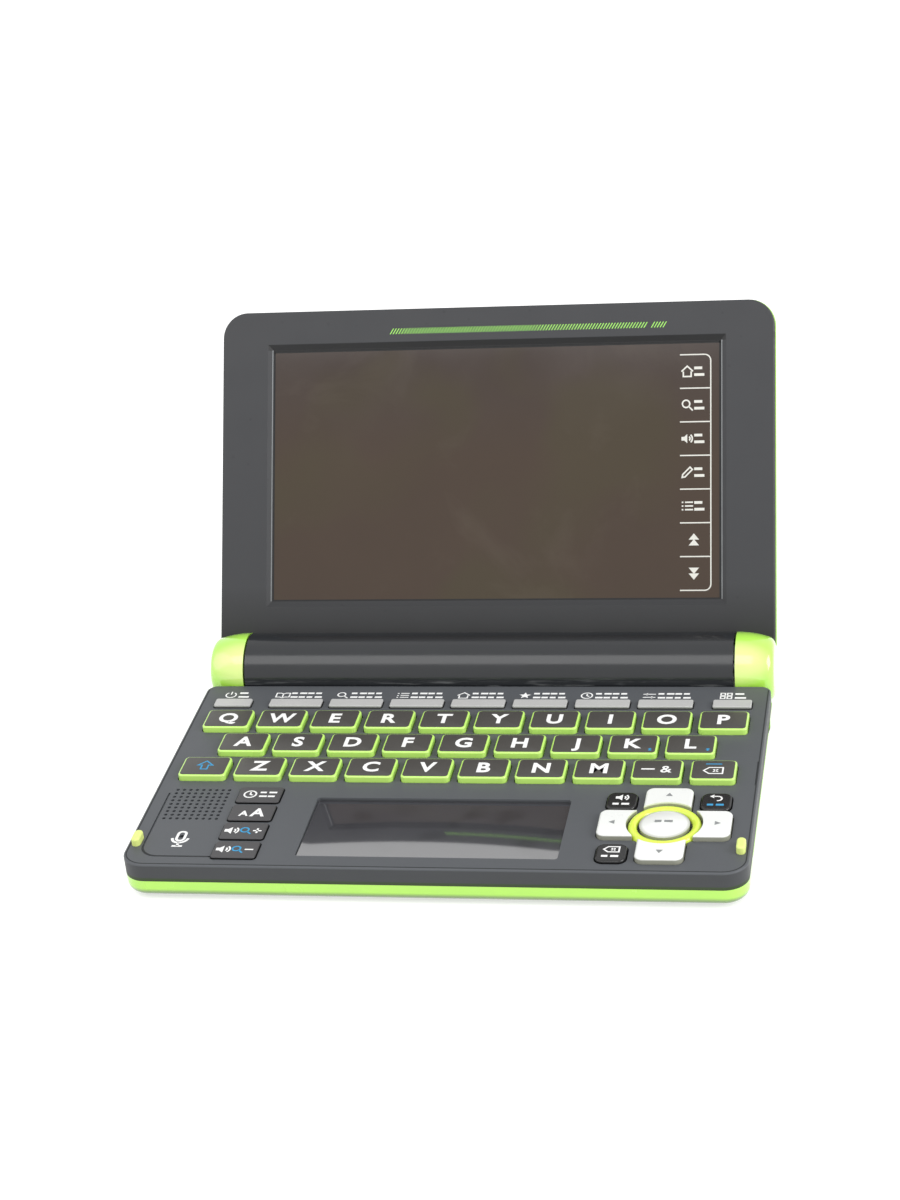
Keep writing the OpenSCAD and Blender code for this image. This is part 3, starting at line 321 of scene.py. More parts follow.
def ramp(tree, value, low, high, start=0.0, end=1.0, **settings):
    """Goes from start to end while the value goes from low to high, and stays there beyond them."""
    ends = {"From Min": low, "From Max": high, "To Min": start, "To Max": end}
    return add(tree, "ShaderNodeMapRange", {"Value": value, **ends}, **settings).outputs["Result"]


def maths(tree, operation, *values):
    """The result of one sum on values or other nodes' outputs."""
    return add(tree, "ShaderNodeMath", dict(enumerate(values)), operation=operation).outputs["Value"]


def between(tree, value, low, high, soft=0.02 * MM):
    """1 where the value lies between two bounds, with soft edges."""
    return maths(tree, "MULTIPLY", ramp(tree, value, low - soft, low + soft),
                 ramp(tree, value, high - soft, high + soft, 1.0, 0.0))


def noise(tree, place, size, detail=2.0, **inputs):
    """Soft noise whose largest spots have the given size."""
    given = {"Vector": place, "Scale": 1 / size, "Detail": detail, **inputs}
    return add(tree, "ShaderNodeTexNoise", given).outputs["Fac"]


def coordinate(tree, place, axis):
    """One coordinate of a place."""
    return add(tree, "ShaderNodeSeparateXYZ", {"Vector": place}).outputs[axis]


def from_hinge(tree, place, way):
    """How far a place lies from the hinge axis along one way."""
    here = add(tree, "ShaderNodeVectorMath", {0: place, 1: HINGE}, operation="SUBTRACT").outputs["Vector"]
    return add(tree, "ShaderNodeVectorMath", {0: here, 1: way}, operation="DOT_PRODUCT").outputs["Value"]


def drawn_out(tree, place, scale):
    """The place scaled by three numbers per metre, so that a pattern on it runs in strokes along X."""
    return add(tree, "ShaderNodeMapping", {"Vector": place, "Scale": scale}).outputs["Vector"]


def raised(tree, shader, height, depth):
    """Gives the shader a relief of one depth."""
    bump = add(tree, "ShaderNodeBump", {"Height": height, "Strength": 1.0, "Distance": depth})
    tree.links.new(bump.outputs["Normal"], shader.inputs["Normal"])


def surface(name, colour, rough, spread=0.05, cloud=9 * MM, grain=0.3 * MM, depth=0.004 * MM, **settings):
    """A moulded or painted material: its colour and gloss vary in soft clouds, over a fine grain.

    Returns the material, its tree, its shader and its Object coordinates for what a finish adds."""
    made = bpy.data.materials.new(name)
    made.use_nodes = True
    tree = made.node_tree
    shader = tree.nodes["Principled BSDF"]
    for socket, value in settings.items():
        shader.inputs[socket.replace("_", " ")].default_value = value
    place = add(tree, "ShaderNodeTexCoord").outputs["Object"]
    clouds = noise(tree, place, cloud, 4.0)
    tones = {0: clouds, 6: toned(colour, 1 - spread), 7: toned(colour, 1 + spread)}
    tree.links.new(add(tree, "ShaderNodeMix", tones, data_type="RGBA").outputs[2], shader.inputs["Base Color"])
    tree.links.new(ramp(tree, clouds, 0.3, 0.7, rough - 0.04, rough + 0.04), shader.inputs["Roughness"])
    raised(tree, shader, noise(tree, place, grain), depth)
    return made, tree, shader, place


def blended(tree, shader, mask, code):
    """Mixes one more sRGB colour over the shader's base colour where the mask is 1."""
    under = shader.inputs["Base Color"].links[0].from_socket
    over = add(tree, "ShaderNodeMix", {0: mask, 6: under, 7: toned(linear(code), 1)}, data_type="RGBA")
    tree.links.new(over.outputs[2], shader.inputs["Base Color"])


@cache
def gloss_green_abs():
    """ABS moulded in a polished tool and clear-coated: even, bright, with clear soft reflections."""
    return surface("gloss_green_abs", chosen("green"), 0.2, spread=0.03, grain=1.6 * MM, depth=0.002 * MM,
                   IOR=1.6, Coat_Weight=0.7, Coat_Roughness=0.12)[0]


@cache
def key_green_abs():
    """Letter key bodies: milky light green ABS, satin, painted paler than the shells to stand in for the light
    that comes through them.
    """
    # painted light: the key bodies take a paler green than the shells, standing in for light through them
    return surface("key_green_abs", chosen("key_body"), 0.26, spread=0.03, grain=1.2 * MM, depth=0.002 * MM,
                   IOR=1.55, Coat_Weight=0.4, Coat_Roughness=0.15)[0]


@cache
def shell_green_abs():
    """The lower shell: the same green ABS, clear-coated, with painted shade where it curves under to the table.
    """
    made, tree, shader, place = surface("shell_green_abs", chosen("green"), 0.24, spread=0.04,
                                        grain=1.6 * MM, depth=0.002 * MM, IOR=1.55, Coat_Weight=1.0,
                                        Coat_Roughness=0.06)
    # painted shade: the shell is drawn darker where it curves under towards the table
    dull = ramp(tree, coordinate(tree, place, "Z"), 2.5 * MM, 3.5 * MM, 1.0, 0.0)
    blended(tree, shader, dull, "#6f9440")
    return made


@cache
def cap_green_abs():
    """Hinge caps: thin glossy green ABS, with a painted highlight that turns their front upper part pale yellow.
    """
    made, tree, shader, place = surface("cap_green_abs", chosen("green"), 0.2, spread=0.02, grain=1.6 * MM,
                                        depth=0.002 * MM, IOR=1.6, Coat_Weight=1.0, Coat_Roughness=0.1)
    steep = radians(38)
    lit = from_hinge(tree, place, (0, -cos(steep), sin(steep)))
    # painted highlight: the caps' front upper part is drawn pale yellow, as if lit through their wall
    pale = ramp(tree, lit, 7.0 * MM, 9.3 * MM, 0.0, 0.75, interpolation_type="SMOOTHSTEP")
    blended(tree, shader, pale, "#f2ffa0")
    return made


@cache
def slate_abs():
    """ABS from a spark-eroded tool: a fine even grit that kills the shine, so that it looks like slate.

    Its sides are darker with painted shade, and their lowest millimetre is painted green-black as the shadow at
    the seam."""
    made, tree, shader, place = surface("slate_abs", chosen("deck"), 0.5, grain=0.28 * MM, depth=0.012 * MM)
    height = coordinate(tree, place, "Z")
    edge, seam_shadow_height = DECK - 0.45 * MM, 6.45 * MM
    # painted shade: the deck plate's sides, below its top edge, are drawn darker than its top
    blended(tree, shader, between(tree, height, 0.0, edge, 0.1 * MM), "#3b3d40")
    # painted shadow: the lowest part of the sides, just over the green shell, is drawn green-black
    blended(tree, shader, between(tree, height, 0.0, seam_shadow_height, 0.15 * MM), "#2a3b18")
    return made


@cache
def flecked_slate_abs():
    """The lid's front frame: the same grit with dark flecks of dust, about 0.9 mm wide and 15 mm apart.

    The bevel over the glass is in shade, and so is the foot next to the barrel."""
    made, tree, shader, place = surface("flecked_slate_abs", chosen("frame"), 0.48, grain=0.28 * MM,
                                        depth=0.012 * MM)
    cells = add(tree, "ShaderNodeTexVoronoi", {"Vector": place, "Scale": 1 / (4.6 * MM)})
    blended(tree, shader, ramp(tree, cells.outputs["Distance"], 0.06, 0.11, 0.5, 0.0), "#232427")
    up, depth = from_hinge(tree, place, UP_LID), from_hinge(tree, place, INTO_LID)
    bevel = maths(tree, "MULTIPLY", between(tree, depth, FRAME_FACE + 0.06 * MM, 9 * MM),
                  between(tree, up, 85.2 * MM, 87 * MM))
    blended(tree, shader, bevel, "#0e0e10")
    blended(tree, shader, ramp(tree, up, 9 * MM, 22 * MM, 1.0, 0.0), "#0c0d0e")
    return made


@cache
def satin_black_abs():
    """The battery barrel: black ABS from a satin tool, rubbed pale in short strokes where it meets the deck."""
    made, tree, shader, place = surface("satin_black_abs", chosen("barrel"), 0.17, grain=0.5 * MM,
                                        depth=0.002 * MM, IOR=1.55)
    low = ramp(tree, coordinate(tree, place, "Z"), DECK + 0.4 * MM, DECK + 2.2 * MM, 1.0, 0.0)
    front = maths(tree, "LESS_THAN", coordinate(tree, place, "Y"), HINGE.y)
    strokes = noise(tree, drawn_out(tree, place, (90.0, 900.0, 900.0)), 1.0, 5.0)
    rubbed = ramp(tree, strokes, 0.52, 0.75, 0.0, 0.4)
    blended(tree, shader, maths(tree, "MULTIPLY", rubbed, maths(tree, "MULTIPLY", low, front)), "#a9abac")
    return made


@cache
def key_top_abs():
    """Letter key tops: dark warm ABS with a fine satin grain, a little smoother than the deck."""
    return surface("key_top_abs", chosen("key_top"), 0.42, grain=0.22 * MM, depth=0.006 * MM)[0]


@cache
def grey_strip_abs():
    """Function strips: light grey painted ABS, satin, with painted shade at their foot."""
    made, tree, shader, place = surface("grey_strip_abs", chosen("strip"), 0.38, grain=0.25 * MM)
    # painted shade: the strips are drawn dark from below the deck up to 0.3 mm over it
    foot_shade = between(tree, coordinate(tree, place, "Z"), 0.0, DECK + 0.3 * MM, 0.1 * MM)
    blended(tree, shader, foot_shade, "#4b4a49")
    return made


@cache
def silver_lacquer():
    """Arrow pads and enter key: pale silver lacquer with fine flakes, with painted shade down their sides."""
    made, tree, shader, place = surface("silver_lacquer", chosen("silver"), 0.3, spread=0.02,
                                        depth=0.002 * MM, Coat_Weight=0.5, Coat_Roughness=0.08)
    flakes = add(tree, "ShaderNodeTexVoronoi", {"Vector": place, "Scale": 1 / (0.22 * MM)})
    blended(tree, shader, ramp(tree, flakes.outputs["Color"], 0.75, 1.0, 0.0, 0.35), "#fbfcfb")
    # painted shade: the lowest millimetre of the keys over the deck is drawn darker
    sides = between(tree, coordinate(tree, place, "Z"), 0.0, DECK + 1.0 * MM, 0.15 * MM)
    blended(tree, shader, sides, "#a3a495")
    return made


@cache
def small_key_abs():
    """The keys round the panel: dull grey ones on the left and glossy black ones round the arrows."""
    made, tree, shader, place = surface("small_key_abs", linear("#444345"), 0.4, grain=0.22 * MM)
    # painted shade: the keys are drawn near-black from below the deck up to 0.3 mm over it
    foot_shade = between(tree, coordinate(tree, place, "Z"), 0.0, DECK + 0.3 * MM, 0.05 * MM)
    blended(tree, shader, foot_shade, "#121213")
    right = maths(tree, "GREATER_THAN", coordinate(tree, place, "X"), 0.0)
    blended(tree, shader, right, "#1b1b1c")
    tree.links.new(ramp(tree, right, 0.0, 1.0, 0.42, 0.2), shader.inputs["Roughness"])
    return made


@cache
def lime_ring_acrylic():
    """The ring between the arrows and enter: tinted acrylic, yellower than the shells and very smooth."""
    return surface("lime_ring_acrylic", chosen("ring"), 0.14, spread=0.03, grain=2 * MM, depth=0.001 * MM,
                   IOR=1.49, Coat_Weight=0.4)[0]


@cache
def green_rubber():
    """The two deck bumpers: soft moulded rubber, dull and a paler, yellower green than the shells."""
    return surface("green_rubber", linear("#e6f58e"), 0.5, spread=0.06, grain=0.35 * MM, depth=0.01 * MM)[0]


@cache
def black_rubber():
    """Feet: black moulded rubber, dull with a faint bloom."""
    return surface("black_rubber", linear("#232323"), 0.78, spread=0.15, cloud=3 * MM, grain=0.4 * MM,
                   depth=0.02 * MM)[0]


@cache
def silicone_mat():
    """Key mat under the deck: black silicone sheet, slightly shiny."""
    return surface("silicone_mat", linear("#1c1d1d"), 0.5, spread=0.12, grain=0.5 * MM, depth=0.01 * MM)[0]


@cache
def stylus_abs():
    """Stylus: its body in the shell's green ABS, its last 4 mm in black nylon."""
    made, tree, shader, place = surface("stylus_abs", chosen("green"), 0.25, spread=0.03, grain=1.2 * MM,
                                        depth=0.002 * MM)
    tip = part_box("stylus")[1].y - 4.0 * MM
    blended(tree, shader, maths(tree, "GREATER_THAN", coordinate(tree, place, "Y"), tip), "#1a1a1b")
    return made


@cache
def nickel_steel():
    """Screws, shafts, knuckles and contacts: turned or stamped steel under nickel, with fine tool lines."""
    made, tree, shader, place = surface("nickel_steel", linear("#c4c3bf"), 0.28, spread=0.08, cloud=4 * MM,
                                        Metallic=1.0)
    lines = noise(tree, drawn_out(tree, place, (4000.0, 700.0, 700.0)), 1.0)
    raised(tree, shader, lines, 0.006 * MM)
    return made


@cache
def cell_sleeve():
    """Dry cells: a shrunk plastic sleeve, charcoal with a copper-coloured band, glossy. It carries no print."""
    made, tree, shader, place = surface("cell_sleeve", linear("#26282b"), 0.22, spread=0.05, Coat_Weight=0.3)
    cell, band = 50.55 * MM, 36 * MM
    along = maths(tree, "FLOORED_MODULO", coordinate(tree, place, "X"), cell)
    blended(tree, shader, maths(tree, "GREATER_THAN", along, band), "#a0603a")
    return made


@cache
def masked_board():
    """Circuit board: glass-epoxy under green solder mask, with a weave of about 0.6 mm showing through."""
    made, tree, shader, place = surface("masked_board", linear("#17603a"), 0.3, spread=0.1, Coat_Weight=0.2)
    weave = add(tree, "ShaderNodeTexBrick", {"Vector": place, "Scale": 1 / (1.2 * MM), "Mortar Size": 0.04,
                                             "Color1": (1.0, 1.0, 1.0, 1.0), "Color2": (0.8, 0.8, 0.8, 1.0),
                                             "Mortar": (0.0, 0.0, 0.0, 1.0)})
    raised(tree, shader, weave.outputs["Color"], 0.01 * MM)
    return made


@cache
def speaker_paper():
    """Speaker: black pressed paper with short fibres, fully dull."""
    return surface("speaker_paper", linear("#161616"), 0.85, spread=0.25, cloud=0.8 * MM, depth=0.03 * MM)[0]


@cache
def window_glass():
    """Display: an unlit liquid crystal layer under hard glass, warm grey-brown with a few faint pale patches of
    painted reflection.

    It turns greyer to the top and olive in patches."""
    made, tree, shader, place = surface("window_glass", chosen("display"), 0.08, spread=0.08, cloud=26 * MM,
                                        depth=0.0, IOR=1.45)
    high = ramp(tree, from_hinge(tree, place, UP_LID), 55 * MM, 86 * MM, 0.0, 0.6)
    blended(tree, shader, high, "#38302f")
    patches = noise(tree, place, 42 * MM)
    blended(tree, shader, ramp(tree, patches, 0.5, 0.62, 0.0, 0.6), "#433b28")
    # painted reflection: faint pale clouds drawn over the glass
    painted_reflection = noise(tree, place, 30 * MM, 6.0, Roughness=0.6, Distortion=0.8)
    blended(tree, shader, ramp(tree, painted_reflection, 0.56, 0.85, 0.0, 0.4), "#5d5347")
    return made


@cache
def panel_glass():
    """Writing panel: hard-coated clear sheet over a dark liquid crystal layer, with a mirror-like face."""
    made, tree, shader, place = surface("panel_glass", chosen("panel"), 0.12, spread=0.06, cloud=14 * MM,
                                        depth=0.0, IOR=1.3, Coat_Weight=1.0, Coat_Roughness=0.03, Coat_IOR=3.1)
    cell = ramp(tree, noise(tree, place, 9 * MM, 1.0), 0.55, 0.7, 0.0, 0.5)
    blended(tree, shader, cell, "#0c0d12")
    return made


@cache
def seam_shade():
    """The fine gaps of the deck, filled with dust and shade: dull and dark."""
    return surface("seam_shade", linear("#2a2c2e"), 0.8, spread=0.15, cloud=2 * MM, grain=0.2 * MM,
                   depth=0.01 * MM)[0]


@cache
def window_gasket():
    """Black foam line between the display glass and its frame, and a dark band of painted shade under the top
    bevel: dull, slightly uneven.
    """
    return surface("window_gasket", linear("#151516"), 0.7, spread=0.2, cloud=1 * MM, grain=0.2 * MM,
                   depth=0.01 * MM)[0]


@cache
def rubbed_edge():
    """Painted highlights on the inner edges of the window's bevel: pale and smooth."""
    return surface("rubbed_edge", linear("#8b8e90"), 0.3, spread=0.15, cloud=6 * MM)[0]


@cache
def lcd_cell():
    """Liquid crystal cell and its back light, seen from the side: grey-green laminate."""
    return surface("lcd_cell", linear("#5d625a"), 0.35, spread=0.08, cloud=5 * MM, grain=0.5 * MM)[0]


@cache
def white_ink():
    """Screen-printed white ink: flat, a little thin in places."""
    return surface("white_ink", chosen("ink"), 0.6, spread=0.07, cloud=0.9 * MM)[0]


@cache
def blue_ink():
    """Screen-printed blue ink of the second functions."""
    return surface("blue_ink", chosen("accent"), 0.6, spread=0.08, cloud=0.9 * MM)[0]


@cache
def grey_ink():
    """Pad-printed grey ink on the silver keys."""
    return surface("grey_ink", linear("#8d9090"), 0.6, spread=0.1, cloud=0.7 * MM)[0]


@cache
def lime_ink():
    """Screen-printed green ink of the lid's hatched stripe."""
    return surface("lime_ink", linear("#a8f06a"), 0.55, spread=0.08, cloud=1.2 * MM)[0]


@cache
def window_print():
    """Off-white print behind the display glass, softened by the glass over it."""
    return surface("window_print", linear("#dddcd4"), 0.3, spread=0.08, cloud=1.5 * MM, Coat_Weight=0.6)[0]


# ---- settings a user would change ----


def tint(name, code, words):
    """A colour setting that starts at an sRGB hex value."""
    return FloatVectorProperty(name=name, description=words, subtype="COLOR", size=3, min=0, max=1,
                               default=linear(code))


def length(name, default, words):
    """A length setting."""
    return FloatProperty(name=name, description=words, default=default, min=0, subtype="DISTANCE",
                         unit="LENGTH")


class DictionaryColours(bpy.types.PropertyGroup):
    """Colours of the dictionary's finishes"""

    green: tint("Shell green", "#bcfa5a", "Lower shell, lid back, hinge caps and key bodies")
    key_body: tint("Key bodies", "#cdfb7c", "Sides and rims of the letter keys")
    deck: tint("Deck", "#525559", "Keyboard deck")
    frame: tint("Lid frame", "#2f3033", "Frame round the display")
    barrel: tint("Barrel", "#25272a", "Battery barrel and its door")
    key_top: tint("Key tops", "#4a4845", "Dark tops of the letter keys")
    strip: tint("Function strips", "#bebebd", "Row of function strips")
    silver: tint("Silver keys", "#f1f3f0", "Arrow keys and enter key")
    ring: tint("Arrow ring", "#e2fa55", "Ring round the enter key")
    display: tint("Display", "#43352a", "Unlit display behind its glass")
    panel: tint("Writing panel", "#38383d", "Unlit writing panel behind its sheet")
    ink: tint("White ink", "#fafbf9", "Legends and marks")
    accent: tint("Blue ink", "#3a9cce", "Marks of the second functions")


class DictionarySizes(bpy.types.PropertyGroup):
    """Sizes of the key tops and printed marks"""

    top_inset: length("Key top inset", 0.45 * MM, "Green rim left round a letter key's dark top")
    top_rise: length("Key top rise", 0.07 * MM, "Height of the dark tops over the key bodies")
    legend: length("Legend height", 4.3 * MM, "Capital height of the key legends")
    line: length("Line width", 0.32 * MM, "Width of the printed lines")
    lift: length("Print thickness", 0.02 * MM, "Height of the printed marks over their surface")
    label: length("Label size", 3.2 * MM, "Size of the marks behind the function strips")
    hatch_step: length("Hatch step", 0.76 * MM, "Distance between two bars of the lid's stripe")
    cell_count: IntProperty(name="Display cells", description="Printed cells down the display's right side",
                            default=7, min=1, max=12)


# ---- pieces ----


LETTER_KEYS = sorted(n for n in frame["nodes"] if n.startswith("key_") and n != "key_mat")
ARROW_KEYS = [f"arrow_{way}_key" for way in ("right", "up", "left", "down")]

CASE_FINISHES = {
    gloss_green_abs: ["lid_back_cover"],
    cap_green_abs: ["hinge_caps"],
    key_green_abs: LETTER_KEYS,
    shell_green_abs: ["lower_case"],
    slate_abs: ["upper_case"],
    flecked_slate_abs: ["lid_bezel"],
    satin_black_abs: ["battery_barrel", "battery_door"],
    silver_lacquer: ["enter_key", *ARROW_KEYS],
    grey_strip_abs: ["function_keys"],
    small_key_abs: ["small_keys"],
    lime_ring_acrylic: ["nav_ring"],
    green_rubber: ["lid_bumpers"],
    black_rubber: ["rubber_feet"],
    silicone_mat: ["key_mat"],
    stylus_abs: ["stylus"],
    nickel_steel: ["base_screws", "hinge_shafts", "hinge_knuckles", "lid_screws", "battery_contacts"],
    cell_sleeve: ["battery_cells"],
    masked_board: ["main_board"],
    speaker_paper: ["speaker"],
    window_glass: ["display_window"],
    panel_glass: ["sub_window"],
    lcd_cell: ["display_panel", "sub_display"],
}


class DICTIONARY_OT_case_finishes(bpy.types.Operator):
    """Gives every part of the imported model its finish"""

    bl_idname = "dictionary.case_finishes"
    bl_label = "Case finishes"

    def execute(self, context):
        for finish, names in CASE_FINISHES.items():
            for name in names:
                frame["nodes"][name].material_slots[0].material = finish()
        return {"FINISHED"}


def key_legend(name, sizes):
    """The printed parts of one letter key about its middle, as (mesh, place, finish)."""
    at = Matrix.Translation
    mark = name.removeprefix("key_")
    small, line = sizes.legend * 0.3, sizes.line * 1.2
    corner = at((4.3 * MM, -2.6 * MM, 0))
    if mark == "shift":
        return [(pictogram("shift", sizes.legend * 0.95, line), at((0, 0.2 * MM, 0)), blue_ink())]
    if mark == "delete":
        return [(pictogram("erase", sizes.legend * 0.95, line), at((0, -0.5 * MM, 0)), white_ink()),
                (pictogram("bar", sizes.legend * 0.9, line), at((0, 2.5 * MM, 0)), blue_ink())]
    if mark == "dash":
        return [(pictogram("bar", sizes.legend * 0.75, line * 1.5), at((-2.2 * MM, 0, 0)), white_ink()),
                (lettering("&", sizes.legend * 0.7, 0.015), at((2.2 * MM, 0, 0)), white_ink())]
    parts = [(lettering(mark.upper(), sizes.legend, 0.033), at((0, 0.2 * MM, 0)), white_ink())]
    if mark in "kl":
        arrows = pictogram("up_up" if mark == "k" else "down_down", small, line * 0.6)
        parts.append((arrows, corner, blue_ink()))
    return parts


class DICTIONARY_OT_key_tops(bpy.types.Operator):
    """Lays a dark top with its printed legend on each letter key"""

    bl_idname = "dictionary.key_tops"
    bl_label = "Key tops"

    def execute(self, context):
        sizes = context.scene.dictionary_sizes
        flange, corner, edge, sunk = 0.85 * MM, 0.85 * MM, 0.05 * MM, 0.05 * MM
        for name in LETTER_KEYS:
            low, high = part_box(name)
            middle = (low + high) / 2
            wide, deep = (high[i] - low[i] - 2 * (flange + sizes.top_inset) for i in (0, 1))
            top = plate(wide, deep, corner, sizes.top_rise + sunk, edge)
            parts = [(top, Matrix.Translation((0, 0, -sunk)), key_top_abs())]
            parts += [(mesh, Matrix.Translation((0, 0, sizes.top_rise + sizes.lift)) @ place, finish)
                      for mesh, place, finish in key_legend(name, sizes)]
            made = join(f"{name}_top", parts)
            made.transform(Matrix.Translation((middle.x, middle.y, high.z)))
            fit(f"{name}_top", made, name)
        return {"FINISHED"}


class DICTIONARY_OT_strip_marks(bpy.types.Operator):
    """Prints a mark behind each function strip"""

    bl_idname = "dictionary.strip_marks"
    bl_label = "Strip marks"

    def execute(self, context):
        sizes = context.scene.dictionary_sizes
        pitch, end, row = 15.93 * MM, HALF - 9.1 * MM, 81.0 * MM
        gap, short, long, weight = 0.6 * MM, 3.2 * MM, 8.6 * MM, 0.8 * MM
        marks = ("power", "book", "lens", "list", "house", "star", "clock", "sliders", "grid")
        places = [-end] + [i * pitch for i in range(-3, 4)] + [end]
        parts = []
        for mark, x in zip(marks, places):
            words = short if abs(x) == end else long
            left = x - (sizes.label + gap + words) / 2
            parts += [(pictogram(mark, sizes.label, sizes.line * 1.1),
                       on_deck(left + sizes.label / 2, row, sizes.lift), white_ink()),
                      (dashes(words, 2, weight),
                       on_deck(x + (sizes.label + gap) / 2, row, sizes.lift), white_ink())]
        fit("strip_marks", join("strip_marks", parts), "base")
        return {"FINISHED"}


class DICTIONARY_OT_deck_seam(bpy.types.Operator):
    """Darkens the gap round the deck plate and the groove at its front left corner"""

    bl_idname = "dictionary.deck_seam"
    bl_label = "Deck seam"

    def execute(self, context):
        lift = context.scene.dictionary_sizes.lift
        inset, turn, far = 0.65 * MM, 5.15 * MM, 84 * MM
        side = HALF - inset
        seam = bmesh.new()
        ribbon(seam, [(-side, far), *arc(turn - side, inset + turn, turn, 180, 270, 10),
                      *arc(side - turn, inset + turn, turn, 270, 360, 10), (side, far)], 0.3 * MM)
        near, bend, end = 3.95 * MM, 4.5 * MM, 21 * MM
        groove = bmesh.new()
        ribbon(groove, [*arc(near + bend - HALF, near + bend, bend, 180, 270, 10), (end - HALF, near)], 0.5 * MM)
        parts = [(mesh_of(shape, "line"), on_deck(0, 0, lift), seam_shade()) for shape in (seam, groove)]
        fit("deck_seam", join("deck_seam", parts), "base")
        return {"FINISHED"}


class DICTIONARY_OT_small_key_marks(bpy.types.Operator):
    """Prints the marks of the keys left of the panel and round the arrows"""

    bl_idname = "dictionary.small_key_marks"
    bl_label = "Small key marks"

    def execute(self, context):
        sizes = context.scene.dictionary_sizes
        line, lift = sizes.line, sizes.lift
        x, low, step = -HALF + 27.1 * MM, 6.45 * MM, 8.2 * MM
        side, corner = 0.5 * MM + lift, 0.7 * MM + lift  # heights of the two kinds of key
        parts = []
        for i, sign in enumerate(("minus", "plus")):
            y = low + i * step
            parts += [(pictogram("speaker", 3.6 * MM, line * 1.3), on_deck(x - 2.9 * MM, y, side), white_ink()),
                      (pictogram("lens", 3.0 * MM, line * 1.3), on_deck(x + 0.5 * MM, y, side), blue_ink()),
                      (pictogram(sign, 2.6 * MM, line * 1.5), on_deck(x + 3.3 * MM, y, side), white_ink())]
        y = low + 2 * step
        parts += [(lettering("A", 2.2 * MM, 0.03), on_deck(x - 1.9 * MM, y - 0.5 * MM, side), white_ink()),
                  (lettering("A", 3.4 * MM, 0.03), on_deck(x + 1.5 * MM, y, side), white_ink())]
        y = low + 3 * step
        parts += [(pictogram("clock", 3.4 * MM, line * 1.3), on_deck(x - 2.4 * MM, y, side), white_ink()),
                  (dashes(4.4 * MM, 2, 0.7 * MM), on_deck(x + 2.2 * MM, y, side), white_ink())]
        for dx, dy, mark, words in ((-11.1, 10.7, "speaker", white_ink), (11.1, 10.7, "back", blue_ink),
                                    (-11.1, -11.85, "erase", white_ink)):
            x, y = NAV_X + dx * MM, NAV_Y + dy * MM
            parts += [(pictogram(mark, 3.2 * MM, line * 1.2), on_deck(x, y + 1.2 * MM, corner), white_ink()),
                      (dashes(4.2 * MM, 1, 0.8 * MM), on_deck(x, y - 1.6 * MM, corner), words())]
        fit("small_key_marks", join("small_key_marks", parts), "small_keys")
        return {"FINISHED"}


class DICTIONARY_OT_arrow_marks(bpy.types.Operator):
    """Prints a triangle on each arrow key and two faint strokes on the enter key"""

    bl_idname = "dictionary.arrow_marks"
    bl_label = "Arrow marks"

    def execute(self, context):
        sizes = context.scene.dictionary_sizes
        reach, arrow_top, enter_top = 12.3 * MM, 1.4 * MM, 1.8 * MM
        nav = on_deck(NAV_X, NAV_Y, 0)
        for i, name in enumerate(ARROW_KEYS):
            out = Matrix.Translation((reach, 0, arrow_top + sizes.lift))
            mark = pictogram("triangle", 1.7 * MM, sizes.line)
            parts = [(mark, nav @ Matrix.Rotation(i * pi / 2, 4, "Z") @ out, grey_ink())]
            fit(f"{name}_mark", join(f"{name}_mark", parts), name)
        place = nav @ Matrix.Translation((0, 0, enter_top + sizes.lift))
        parts = [(dashes(4.4 * MM, 1, 0.9 * MM), place, grey_ink())]
        fit("enter_key_mark", join("enter_key_mark", parts), "enter_key")
        return {"FINISHED"}


class DICTIONARY_OT_microphone_mark(bpy.types.Operator):
    """Prints the microphone mark behind its hole"""

    bl_idname = "dictionary.microphone_mark"
    bl_label = "Microphone mark"

    def execute(self, context):
        sizes = context.scene.dictionary_sizes
        hole_x, hole_y = -HALF + 12.2 * MM, 12.6 * MM
        parts = [(pictogram("microphone", 7.2 * MM, 0.65 * MM), on_deck(hole_x, hole_y, sizes.lift), white_ink())]
        fit("microphone_mark", join("microphone_mark", parts), "base")
        return {"FINISHED"}


class DICTIONARY_OT_display_print(bpy.types.Operator):
    """Prints the column of open cells down the display's right side, with plain marks in them"""

    bl_idname = "dictionary.display_print"
    bl_label = "Display print"

    def execute(self, context):
        sizes = context.scene.dictionary_sizes
        count = sizes.cell_count
        left, right, low, high = 49.2 * MM, 57.2 * MM, 20.28 * MM, 81.6 * MM
        depth = GLASS_FACE - sizes.lift
        step, wide, tall, turn = (high - low) / count, right - left, high - low, 1.6 * MM
        shape = bmesh.new()
        ribbon(shape, [(0, 0), *arc(wide - turn, turn, turn, -90, 0, 6),
                       *arc(wide - turn, tall - turn, turn, 0, 90, 6), (0, tall)], sizes.line)
        parts = [(mesh_of(shape, "outline"), on_lid(left, low, depth), window_print())]
        shape = bmesh.new()
        ribbon(shape, [(0, 0), (wide, 0)], sizes.line)
        lines = grown(mesh_of(shape, "line"), row_tree(), Count=count - 1, Step=(0.0, step, 0.0),
                      Finish=window_print())
        parts.append((lines, on_lid(left, low + step, depth), window_print()))
        marks = ("down_down", "up_up", "list", "pen", "speaker", "lens", "house")
        for i in range(count):
            x, up = left + wide * 0.45, low + (i + 0.5) * step
            if i < 2:
                parts.append((pictogram(marks[i], 3.4 * MM, sizes.line), on_lid(x, up, depth), window_print()))
                continue
            parts += [(pictogram(marks[i % len(marks)], 3.0 * MM, sizes.line * 1.2),
                       on_lid(x - 1.7 * MM, up, depth), window_print()),
                      (dashes(3.0 * MM, 2, 0.7 * MM), on_lid(x + 1.6 * MM, up, depth), window_print())]
        fit("display_print", join("display_print", parts), "lid")
        return {"FINISHED"}


